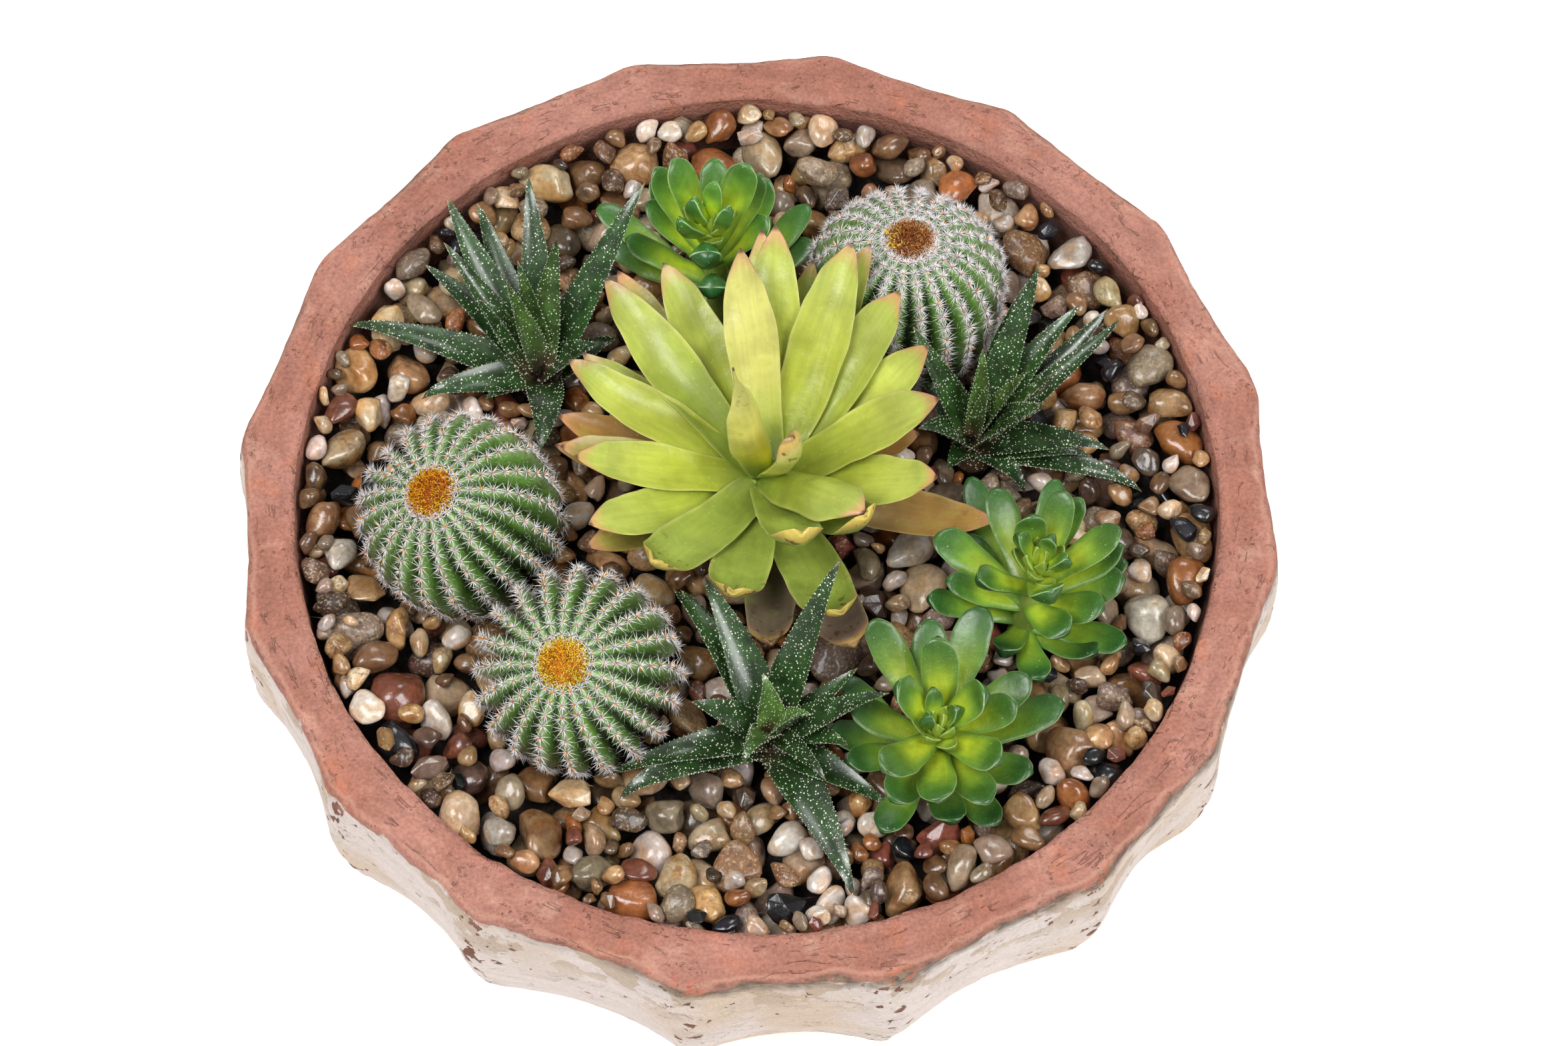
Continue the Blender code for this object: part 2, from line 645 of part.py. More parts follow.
def make_wool_crown(name, cactus):
    """A domed pad of wool with upright tufts on the flat top of the body."""
    turn = cactus_matrix(cactus)
    base = CACTUS_PROFILE[-1][0] * CACTUS_RADIUS + GAP
    rings = []
    for rise, share in WOOL_PROFILE:
        rings.append([
            turn @ Vector(polar(WOOL_RADIUS * share, 360 * i / WOOL_SIDES, base + WOOL_HEIGHT * rise))
            for i in range(WOOL_SIDES)
        ])
    tufts = []
    for i in range(WOOL_TUFTS):
        radius = TUFT_SPREAD * math.sqrt((i + 0.5) / WOOL_TUFTS)
        foot = Vector(polar(radius, i * GOLDEN_ANGLE_DEG, base + TUFT_RADIUS))
        tip = Vector(polar(radius + TUFT_RADIUS, i * GOLDEN_ANGLE_DEG, base + WOOL_HEIGHT + TUFT_HEIGHT))
        tufts.append(spike("tuft", turn @ foot, turn @ tip, TUFT_RADIUS))
    return finish(combine(ring_solid(name, rings), tufts, "UNION"), make_material("wool_crown"))


def main():
    clear_scene()
    make_bowl()
    make_soil()
    make_pebble_layer()
    make_leafy_plant("golden_rosette", ROSETTE, rosette_sections, ROSETTE_ARCH, "golden_rosette")
    for name, plant in HAWORTHIAS.items():
        make_leafy_plant(name, plant, haworthia_sections, HAWORTHIA_ARCH, "haworthia")
    for name, plant in SEDUMS.items():
        make_leafy_plant(name, plant, sedum_sections, SEDUM_ARCH, "finger_sedum")
    for side, cactus in CACTI.items():
        make_cactus(f"barrel_cactus_{side}", cactus)
        make_wool_crown(f"wool_crown_{side}", cactus)


main()
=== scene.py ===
"""The finish of a fluted terracotta bowl planted with succulents and barrel cacti among river pebbles.

Lengths are in millimetres and angles in degrees unless a name says otherwise. Azimuths turn from +X
towards +Y. Colours are display values from 0 to 1, made linear where a mesh or a node takes them.
"""

import itertools
import math

import bmesh
import bpy
import numpy as np
from mathutils import Matrix, Vector, noise


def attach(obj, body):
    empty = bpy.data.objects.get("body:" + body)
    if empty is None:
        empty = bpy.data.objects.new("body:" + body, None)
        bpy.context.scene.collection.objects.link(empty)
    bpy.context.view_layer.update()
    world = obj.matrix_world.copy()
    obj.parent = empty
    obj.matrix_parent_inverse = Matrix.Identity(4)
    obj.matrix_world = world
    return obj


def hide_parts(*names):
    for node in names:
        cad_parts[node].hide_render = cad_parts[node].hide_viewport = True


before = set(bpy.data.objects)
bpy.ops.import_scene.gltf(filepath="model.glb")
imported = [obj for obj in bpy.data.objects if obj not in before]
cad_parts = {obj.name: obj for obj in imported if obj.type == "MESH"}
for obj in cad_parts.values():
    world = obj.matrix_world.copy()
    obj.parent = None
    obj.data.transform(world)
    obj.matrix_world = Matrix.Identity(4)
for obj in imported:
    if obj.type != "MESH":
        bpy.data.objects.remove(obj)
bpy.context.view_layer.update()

BODY = "root"
MM = 0.001
NOISE_SEED = 7
noise.seed_set(NOISE_SEED)      # without it, noise_vector starts from the clock

# Camera
CAMERA_ELEVATION = 64.408
CAMERA_ROLL = 2.262
CAMERA_DISTANCE = 1448.9
CAMERA_TARGET = (8.75, -8.75, 115)
CAMERA_LENS = 102.97
CAMERA_SENSOR = 36

# Light and floor: each light's place and size in metres and its power, then plain strengths
SOFTBOXES = {
    "key": ((-0.6, -0.35, 1.5), 0.75, 18),
    "fill": ((0.8, -0.5, 1.3), 0.65, 12),
    "rear": ((0.3, 1.0, 1.3), 0.5, 5),
}
SURROUND_STRENGTH = 0.28
FLOOR_GLOW = 0.45
FLOOR_HALF = 4.0                # half of the floor's width, in metres
FLOOR_DROP = 0.3                # gap below the bowl's base

# Starting values of the random draws
ROSETTE_SEED, HAWORTHIA_SEED, SEDUM_SEED, CACTUS_SEED, PEBBLE_SEED = 3, 20, 40, 60, 11

# Bowl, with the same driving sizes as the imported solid
RIM_HEIGHT = 115.0
CORNER_RADIUS = 170.0
FLUTES = 16
FLUTE_WIDTH = 66.0              # between two arrises
FIRST_CORNER_DEG = 287.0
CORNER_WOBBLE_DEG = (0, 0.5, -1.5, 1, 1.5, 0.5, -0.5, -0.5, -0.5, -1, 0, 0, 0, 0, -1, 2)
# height, how far the arris stands outside CORNER_RADIUS, and how deep the flute is
OUTER_PROFILE = (
    (0, -52, 3), (5, -45, 4), (22, -20, 6), (48, -2, 6), (80, 3, 5), (104, 1.5, 2.5), (113, 0, 1.5),
)
RIM_ROUNDING = 2.0
INNER_RADIUS = 151.0
RIM_WIDTH = CORNER_RADIUS - INNER_RADIUS - 2 * RIM_ROUNDING     # its flat part
INNER_PROFILE = ((14, -60), (20, -46), (40, -22), (84, -4), (113, -1))   # height, step from INNER_RADIUS
FLUTE_COLUMNS = 32
OUTER_ROWS = 44

# Filling
SOIL_TOP = 88.3
NECK_FOOT = 84.0

# Each leafy plant: foot and crown of its stem, neck radius, core radius, and its leaves as
# (azimuth of the tip from the foot, reach, tip height, root height, width)
ROSETTE = {
    "foot": (3, 5, 96), "crown": (3, 5, 128), "neck": 9, "core": 12,
    "leaves": (
        (146, 14, 180, 122, 15), (320, 14, 160, 124, 14), (313, 42, 166, 120, 18), (284, 48, 164, 116, 19),
        (312, 51, 160, 113, 19), (345, 57, 153, 116, 19), (13, 54, 158, 116, 18), (33, 61, 152, 113, 18),
        (51, 65, 158, 116, 18), (69, 68, 164, 116, 19), (90, 70, 162, 116, 18), (102, 59, 168, 119, 17),
        (66, 73, 158, 112, 15), (94, 79, 143, 108, 14), (120, 74, 145, 112, 18), (136, 77, 150, 116, 18),
        (128, 84, 134, 108, 15), (160, 70, 148, 115, 17), (152, 70, 138, 109, 15), (188, 62, 148, 115, 17),
        (179, 67, 134, 110, 16), (166, 71, 124, 106, 15), (175, 70, 124, 107, 14), (210, 65, 147, 113, 18),
        (210, 66, 133, 109, 16), (234, 63, 150, 116, 19), (260, 62, 149, 113, 19), (292, 69, 143, 112, 20),
        (273, 66, 130, 108, 17), (295, 72, 130, 108, 18), (349, 76, 121, 109, 17), (17, 50, 128, 108, 15),
        (81, 72, 138, 109, 12),
    ),
}
HAWORTHIAS = {
    "haworthia_left": {
        "foot": (-73, 46, 96), "crown": (-73, 46, 112), "neck": 6, "core": 8,
        "leaves": (
            (168, 67, 114, 105, 13), (197, 41, 113, 106, 12), (144, 49, 126, 106, 12),
            (137, 44, 140, 108, 10), (125, 57, 140, 106, 14), (115, 55, 132, 104, 13),
            (97, 53, 146, 106, 13), (80, 28, 151, 110, 11), (56, 56, 155, 106, 13),
            (3, 19, 128, 107, 11), (134, 15, 149, 112, 9), (111, 21, 147, 110, 9),
            (151, 21, 138, 109, 7), (273, 34, 120, 105, 13), (28, 27, 112, 103, 11),
            (211, 21, 109, 103, 9),
        ),
    },
    "haworthia_right": {
        "foot": (70, 27, 96), "crown": (70, 27, 112), "neck": 6, "core": 8,
        "leaves": (
            (67, 46, 152, 106, 13), (70, 47, 141, 104, 12), (47, 47, 142, 106, 12),
            (41, 55, 136, 105, 12), (36, 54, 128, 103, 11), (32, 54, 143, 106, 10),
            (340, 22, 150, 109, 13), (346, 43, 130, 106, 13), (349, 38, 119, 104, 11),
            (344, 58, 112, 105, 12), (314, 25, 111, 105, 11), (139, 30, 149, 108, 11),
            (199, 19, 130, 107, 12), (89, 12, 150, 112, 8), (58, 6, 140, 113, 6),
            (20, 16, 149, 112, 7), (14, 25, 147, 110, 8), (133, 26, 114, 103, 11),
            (233, 14, 110, 103, 10),
        ),
    },
    "haworthia_front": {
        "foot": (7, -80, 96), "crown": (7, -80, 112), "neck": 6, "core": 8,
        "leaves": (
            (62, 40, 163, 107, 13), (118, 49, 132, 105, 14), (128, 53, 126, 104, 13),
            (123, 56, 116, 103, 11), (175, 25, 127, 107, 13), (199, 53, 113, 106, 12),
            (207, 53, 112, 103, 15), (298, 60, 110, 104, 15), (328, 44, 113, 103, 13),
            (4, 35, 141, 106, 12), (31, 31, 127, 104, 10), (342, 26, 121, 105, 12),
            (310, 27, 126, 108, 8), (108, 7, 137, 112, 10), (350, 11, 132, 111, 9),
            (245, 18, 128, 110, 9),
        ),
    },
}
SEDUMS = {
    "finger_sedum_back": {
        "foot": (-14, 73, 96), "crown": (-19, 82, 148), "neck": 4.5, "core": 4.5, "fresh": 62, "light": 1.18,
        "leaves": (
            (146, 52, 121, 112, 10), (157, 36, 127, 118, 10), (145, 32, 144, 126, 10),
            (129, 28, 166, 136, 12), (132, 36, 152, 128, 10), (132, 38, 141, 120, 10),
            (73, 23, 166, 136, 12), (68, 28, 152, 128, 10), (66, 33, 142, 121, 10),
            (98, 40, 138, 118, 11), (48, 21, 142, 128, 10), (51, 42, 121, 109, 10),
            (37, 36, 117, 107, 10), (224, 8, 153, 130, 11), (244, 9, 137, 118, 11),
            (154, 43, 115, 107, 11), (106, 13, 168, 146, 7), (176, 15, 163, 144, 7),
            (144, 13, 166, 146, 6), (75, 4, 166, 145, 7),
        ),
    },
    "finger_sedum_right": {
        "foot": (86, -38, 96), "crown": (90, -32, 140), "neck": 4.5, "core": 4.5, "fresh": 40, "light": 1.03,
        "leaves": (
            (89, 18, 153, 132, 11), (69, 31, 147, 128, 11), (62, 37, 136, 122, 10),
            (77, 46, 123, 112, 10), (29, 33, 147, 128, 12), (29, 36, 131, 120, 10),
            (26, 37, 122, 113, 10), (13, 33, 130, 118, 12), (354, 25, 130, 118, 12),
            (306, 12, 152, 130, 12), (317, 18, 132, 118, 12), (346, 35, 113, 106, 12),
            (335, 27, 112, 103, 12), (105, 39, 130, 118, 11), (110, 52, 114, 105, 10),
            (145, 35, 130, 118, 13), (126, 32, 118, 110, 10), (180, 16, 142, 126, 10),
            (170, 25, 130, 116, 10), (178, 31, 121, 108, 10), (288, 22, 111, 105, 11),
            (244, 15, 116, 106, 10), (56, 12, 154, 138, 6), (110, 10, 155, 138, 6),
            (10, 12, 154, 137, 6),
        ),
    },
    "finger_sedum_front": {
        "foot": (59, -85, 96), "crown": (59, -88, 138), "neck": 4.5, "core": 4.5, "fresh": 31, "light": 0.98,
        "leaves": (
            (124, 38, 141, 126, 12), (95, 35, 135, 118, 12), (93, 21, 153, 132, 13),
            (71, 42, 136, 118, 13), (164, 14, 155, 135, 12), (12, 15, 155, 135, 13),
            (29, 33, 136, 122, 12), (9, 25, 143, 128, 12), (17, 42, 126, 114, 13),
            (319, 26, 146, 130, 13), (338, 33, 126, 116, 12), (302, 31, 136, 122, 12),
            (310, 33, 113, 108, 11), (270, 29, 141, 126, 13), (284, 27, 116, 108, 12),
            (234, 28, 151, 132, 13), (242, 29, 133, 120, 13), (241, 33, 113, 108, 12),
            (165, 28, 128, 120, 12), (175, 34, 116, 108, 12), (198, 29, 121, 112, 11),
            (144, 37, 116, 108, 10), (110, 5, 150, 136, 6), (230, 6, 149, 135, 6),
            (350, 6, 149, 135, 6),
        ),
    },
}

# Each leaf section: place along the leaf, half width as a share of the leaf's, and the heights of
# its edges, upper face and lower face
ROSETTE_LEAF = {
    "sections": (
        (0, 0.6, 0.5, 1.4, 2.2), (0.3, 0.8, 2.2, 0.8, 2.1), (0.62, 1, 3.2, 0.5, 1.6),
        (0.85, 0.74, 2.2, 0.4, 1.1), (0.95, 0.36, 0.9, 0.3, 0.7), (1, 0.03, 0.1, 0.2, 0.3),
    ),
    "arch": -5, "margin": 0.3, "rows": 42, "columns": 22,
}
ROSETTE_SPOON = {
    "sections": (
        (0, 0.6, 0.5, 1.4, 2.2), (0.3, 0.8, 2.4, 0.8, 2.1), (0.66, 1, 3.4, 0.5, 1.6),
        (0.88, 0.9, 3.2, 0.4, 1.2), (0.965, 0.66, 2.7, 0.4, 0.9), (1, 0.28, 2.2, 0.4, 0.5),
    ),
    "arch": -5, "margin": 0.4, "rows": 42, "columns": 22,
}
ROSETTE_BUD = {
    "sections": (
        (0, 0.62, -2.6, 2.0, 3.0), (0.38, 1, -5, 3, 3.5), (0.62, 0.86, -4.2, 2.6, 3),
        (0.8, 0.42, -1.6, 1.5, 1.6), (0.89, 0.16, -0.4, 0.7, 0.7), (1, 0.05, 0, 0.3, 0.3),
    ),
    "arch": -2, "margin": 0.4, "rows": 46, "columns": 26,
}
ROSETTE_FOLD = {
    "sections": (
        (0, 0.62, -1, 2.0, 2.4), (0.4, 0.95, -2.4, 2.4, 2.2), (0.72, 1, -2.6, 2, 2),
        (0.9, 0.6, -1, 1, 1.1), (1, 0.06, 0.1, 0.3, 0.3),
    ),
    "arch": 5, "margin": 0.4, "rows": 42, "columns": 24,
}
HAWORTHIA_LEAF = {
    "sections": (
        (0, 0.9, 1.2, 0.6, 2.6), (0.28, 0.96, 2.0, 0.1, 2.6), (0.6, 0.66, 1.5, 0.1, 2),
        (0.85, 0.31, 0.7, 0.1, 1.2), (0.96, 0.12, 0.2, 0.15, 0.6), (1, 0.02, 0, 0.1, 0.15),
    ),
    "arch": 3, "margin": 0.3, "rows": 28, "columns": 16,
}
SEDUM_LEAF = {
    "sections": (
        (0, 0.5, 0.4, 1.5, 2.0), (0.42, 0.74, 0.9, 1.3, 2.8), (0.76, 0.96, 1.2, 1.1, 3.1),
        (0.9, 0.84, 1.0, 1.0, 2.4), (0.97, 0.52, 0.6, 0.8, 1.4), (1, 0.2, 0.2, 0.4, 0.7),
    ),
    "arch": -3, "margin": 0.7, "rows": 26, "columns": 18,
}
SEDUM_SCALE = {
    "sections": (
        (0, 0.7, 0.3, 1.2, 1.5), (0.4, 1, 0.9, 0.7, 1.8), (0.75, 0.72, 0.7, 0.6, 1.3),
        (0.93, 0.32, 0.3, 0.4, 0.7), (1, 0.05, 0, 0.2, 0.3),
    ),
    "arch": -1, "margin": 0.4, "rows": 14, "columns": 12,
}
SEDUM_BUTTON = {
    "sections": (
        (0, 0.6, 0, 2.6, 2.6), (0.5, 0.8, 0, 3.6, 3.6), (0.8, 0.96, 0, 4.2, 4.2),
        (0.93, 0.86, 0, 3.7, 3.7), (0.985, 0.5, 0, 2.2, 2.2), (1, 0.2, 0, 0.8, 0.8),
    ),
    "arch": -2, "margin": 0.4, "rows": 26, "columns": 18,
}
SHEEN_PAINTED_LEAF = 11                  # number of the leaf that stands up behind the bud, made creamy as a painted sheen
SPOON_SIDE = 272                # azimuth around which the rosette's leaves are duller and end in lips
SPOON_SPREAD = (62, 40)         # angles from there at which this begins and is full
AGED_BELOW = 139                # tip height below which the rosette's leaves turn tan
BUTTON_LEAVES = ((224, 8), (244, 9))    # azimuth and reach of the round leaves of the back sedum
HEART_SCALES = 11               # small leaves around the crown of a sedum
CURL_START = 0.78               # place along a leaf where its tip starts to curl
ROW_CROWDING = 1.25             # above 1, a leaf's rows lie closer together towards its tip

# Stems: shares of the way from foot to crown, and the radius there as a share of the core's
STEM_TAPER = ((0.4, 1.0), (0.6, 0.8), (0.75, 0.4))
STEM_ANGLES = np.arange(20) * 18.0

# Each barrel cactus: middle of the body, way and amount that it leans, number of ribs, and how many
# hairs of a tuft spread out and stand up
CACTI = {
    "left": {"middle": (-94, -13, 117), "lean_to": 203, "lean": 20, "ribs": 21, "tuft": (10, 4)},
    "front": {"middle": (-53.5, -67.5, 122), "lean_to": 243, "lean": 20, "ribs": 20, "tuft": (10, 4)},
    "back": {"middle": (46, 75, 119), "lean_to": 90, "lean": 8, "ribs": 22, "tuft": (18, 9)},
}
CACTUS_RADIUS = 32.0
CACTUS_DRIFT = (13, 0.8)        # size and amount of the unevenness of a cactus's ribs
RIB_DEPTH = 9.0
RIB_BLUNTNESS = 0.14            # 0 would make the ribs' crests sharp
RIB_COLUMNS = 10
BODY_ROWS = 64
# height above the body's middle and radius, both as shares of CACTUS_RADIUS
CACTUS_PROFILE = (
    (-0.82, 0.3), (-0.64, 0.7), (-0.2, 0.97), (0.3, 0.99), (0.64, 0.83), (0.83, 0.57), (0.9, 0.28),
)
CACTUS_NECK = 9.0
CACTUS_FOOT = np.array((0, 0, -26.0))    # where the neck begins, from the middle of the body
AREOLE_SPACING = 3.6
HAIR_LENGTH = (3.0, 5.0)
HAIR_RADIUS = 0.2
AREOLE_SPINES = 2               # orange spines in the middle of each tuft
SPINE_RADIUS = 0.32
FLANK_HAIR_RADIUS = 0.09
HAIRS_ABOVE = 100.0             # tufts lower than this lie hidden among the pebbles
FLANK_HAIRS = 1900
CROWN_RADIUS = 7.7
CROWN_HEIGHT = 3.0
CROWN_DOME = ((-1.5, 0.9), (0, 1), (0.45, 0.86), (0.75, 0.6), (0.93, 0.3), (1, 0.08))   # as shares
CROWN_NEEDLES = 1100
NEEDLE_RADIUS = 0.3
CROWN_FRINGE = 130              # white hairs that lean over the crown's border

# Pebbles
# how many are dropped, their half length and how near the middle of the bowl
PEBBLE_STAGES = (
    (900, 7.5, 0), (500, 6.5, 134), (900, 6.2, 0), (500, 5.2, 139), (1000, 5.0, 0), (300, 4.4, 142),
    (250, 4.0, 0),
)
PEBBLE_SPREAD = 0.2             # how much the lengths of a stage vary
PEBBLE_EXTREMES = (0.65, 1.3)   # smallest and largest share of the stage's length
PEBBLE_WIDTHS = (0.6, 0.9)      # shares of a pebble's own length
PEBBLE_HEIGHTS = (0.45, 0.72)
PEBBLE_TRIES = 60
PEBBLE_TILT = 0.4               # spread of the pebbles' tilt, in radians
PEBBLE_TOP_LIMIT = 107.0        # height that pebbles keep below in the open, and beside the wall
PEBBLE_WALL_LIMIT = 113.5
BESIDE_WALL = (118, 142)        # distances from the middle between which the second limit takes over
BALL_FREQUENCIES = (3, 4, 5)    # fineness of the pebbles' meshes: half hidden, open, and open and large
LARGE_PEBBLE = 7.2              # half length from which a pebble is large
CELL = 1.0                      # width of a cell of the height map that pebbles settle on
MAP_HALF = 164.0
MAP_CELLS = int(2 * MAP_HALF / CELL)
FULL = 1e3                      # a height that no pebble reaches


def linear(colour):
    """Display colours turned into the linear values that shading works in."""
    colour = np.asarray(colour, float)
    return np.where(colour <= 0.04045, colour / 12.92, ((colour + 0.055) / 1.055) ** 2.4)


def smooth_curve(places, keys, values):
    """Values read along a smooth curve through the keys that never swings past them."""
    keys, values = np.asarray(keys, float), np.asarray(values, float)
    places = np.clip(places, keys[0], keys[-1])
    steps = np.diff(keys)
    slopes = np.diff(values) / steps
    tangents = np.concatenate((slopes[:1], np.zeros(len(slopes) - 1), slopes[-1:]))
    before, after = slopes[:-1], slopes[1:]
    same_way = before * after > 0
    tangents[1:-1] = np.where(same_way, 2 * before * after, 0) / np.where(same_way, before + after, 1)
    cell = np.clip(np.searchsorted(keys, places, side="right") - 1, 0, len(steps) - 1)
    width = steps[cell]
    t = (places - keys[cell]) / width
    return (
        values[cell] * (1 + 2 * t) * (1 - t) ** 2
        + values[cell + 1] * (3 - 2 * t) * t**2
        + tangents[cell] * width * t * (1 - t) ** 2
        - tangents[cell + 1] * width * (1 - t) * t**2
    )


def step(value, low, high):
    """0 below low and 1 above high, with a smooth rise between."""
    t = np.clip((value - low) / (high - low), 0, 1)
    return t * t * (3 - 2 * t)


def blend(first, second, share):
    first, second = np.asarray(first, float), np.asarray(second, float)
    return first + (second - first) * np.asarray(share)[..., None]


def layered(colour, *layers):
    """A colour with (paint, share) layers laid over it one after the other."""
    for paint, share in layers:
        colour = blend(colour, paint, share)
    return colour


def unit(vectors):
    return vectors / np.maximum(np.linalg.norm(vectors, axis=-1, keepdims=True), 1e-9)


def polar(radius, degrees, height=0.0):
    angle = np.radians(degrees)
    return np.stack(np.broadcast_arrays(radius * np.cos(angle), radius * np.sin(angle), height), axis=-1)


def lumps(points, size, seed=0):
    """Smooth random values from -1 to 1 at points, with lumps of the given size."""
    places = points.reshape(-1, 3) / size + (seed * 17.3, seed * -9.1, seed * 5.7)
    values = [noise.noise(place) for place in places.tolist()]
    return np.array(values).reshape(points.shape[:-1])


def drift(points, size, amount, seed=0):
    """Points moved by up to about an amount, the near ones alike."""
    places = points.reshape(-1, 3) / size + (seed * 11.9, seed * 7.7, seed * -3.1)
    moves = [noise.noise_vector(place) for place in places.tolist()]
    return points + amount * np.array(moves).reshape(points.shape)


class Shells:
    """Closed shells that become one mesh, with a colour and named values at each point."""

    def __init__(self):
        self.points, self.colours, self.quads, self.triangles = [], [], [], []
        self.values = {}
        self.count = 0

    def add(self, points, colours, quads=None, triangles=None, **values):
        points = np.asarray(points, float).reshape(-1, 3)
        self.points.append(points)
        self.colours.append(np.broadcast_to(colours, points.shape))
        for name, value in values.items():
            self.values.setdefault(name, []).append(np.broadcast_to(value, len(points)))
        if quads is not None:
            self.quads.append(np.asarray(quads).reshape(-1, 4) + self.count)
        if triangles is not None:
            self.triangles.append(np.asarray(triangles).reshape(-1, 3) + self.count)
        self.count += len(points)

    def mesh(self, name):
        faces = [np.concatenate(group) for group in (self.quads, self.triangles) if group]
        corners = np.concatenate([group.ravel() for group in faces])
        sizes = np.concatenate([np.full(len(group), group.shape[1]) for group in faces])
        mesh = bpy.data.meshes.new(name)
        mesh.vertices.add(self.count)
        mesh.vertices.foreach_set("co", (np.concatenate(self.points) * MM).astype(np.float32).ravel())
        mesh.loops.add(len(corners))
        mesh.loops.foreach_set("vertex_index", corners.astype(np.int32))
        mesh.polygons.add(len(sizes))
        mesh.polygons.foreach_set("loop_start", (np.cumsum(sizes) - sizes).astype(np.int32))
        mesh.update(calc_edges=True)
        tint = mesh.color_attributes.new(name="tint", type="FLOAT_COLOR", domain="POINT")
        colours = linear(np.clip(np.concatenate(self.colours), 0, 1))
        tint.data.foreach_set("color", np.column_stack([colours, np.ones(self.count)]).ravel())
        for key, parts in self.values.items():
            attribute = mesh.attributes.new(key, "FLOAT", "POINT")
            attribute.data.foreach_set("value", np.concatenate(parts).astype(np.float32))
        mesh.shade_smooth()
        return mesh


def add_piece(name, shells, material, node):
    """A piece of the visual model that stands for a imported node."""
    obj = bpy.data.objects.new(name, shells.mesh(name))
    obj.data.materials.append(material)
    bpy.context.scene.collection.objects.link(obj)
    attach(obj, BODY)
    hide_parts(node)
    return obj


def add_tube(shells, rings, colours, **values):
    """A closed shell through rings of points that turn counterclockwise, seen back from its far end.

    colours and values have one entry for each point of the rings.
    """
    rows, columns = rings.shape[:2]
    row, column = np.meshgrid(np.arange(rows - 1), np.arange(columns), indexing="ij")
    here, beside = row * columns + column, row * columns + (column + 1) % columns
    quads = np.stack([here, beside, beside + columns, here + columns], axis=-1)
    column = np.arange(columns)
    beside = (column + 1) % columns
    start, end, last = rows * columns, rows * columns + 1, (rows - 1) * columns
    first_cap = np.stack([np.full(columns, start), beside, column], axis=-1)
    last_cap = np.stack([np.full(columns, end), last + column, last + beside], axis=-1)

    def with_caps(field):
        ends = field[[0, -1]].mean(axis=1)
        return np.concatenate([field.reshape(rows * columns, -1), ends.reshape(2, -1)])

    colours = np.broadcast_to(colours, rings.shape)
    flat = {name: with_caps(np.broadcast_to(v, rings.shape[:2])).ravel() for name, v in values.items()}
    shells.add(with_caps(rings), with_caps(colours), quads, np.concatenate([first_cap, last_cap]), **flat)


def add_spikes(shells, feet, ways, lengths, radii, foot_colours, tip_colours):
    """Slender three-sided spikes, one for each foot."""
    ways = unit(ways)
    count = len(feet)
    across = unit(np.cross(ways, (0.31, 0.17, 0.94)))
    upward = np.cross(ways, across)
    radii = np.broadcast_to(radii, count)[:, None]
    corners = []
    for turn in np.radians((0, 120, 240)):
        corners.append(feet + radii * (across * math.cos(turn) + upward * math.sin(turn)))
    tips = feet + ways * np.broadcast_to(lengths, count)[:, None]
    points = np.stack([*corners, tips], axis=1)
    foot_colours = np.broadcast_to(foot_colours, (count, 3))
    colours = np.stack([foot_colours] * 3 + [np.broadcast_to(tip_colours, (count, 3))], axis=1)
    faces = np.array([(0, 2, 1), (0, 1, 3), (1, 2, 3), (2, 0, 3)])
    shells.add(points, colours.reshape(-1, 3), triangles=faces + 4 * np.arange(count)[:, None, None])


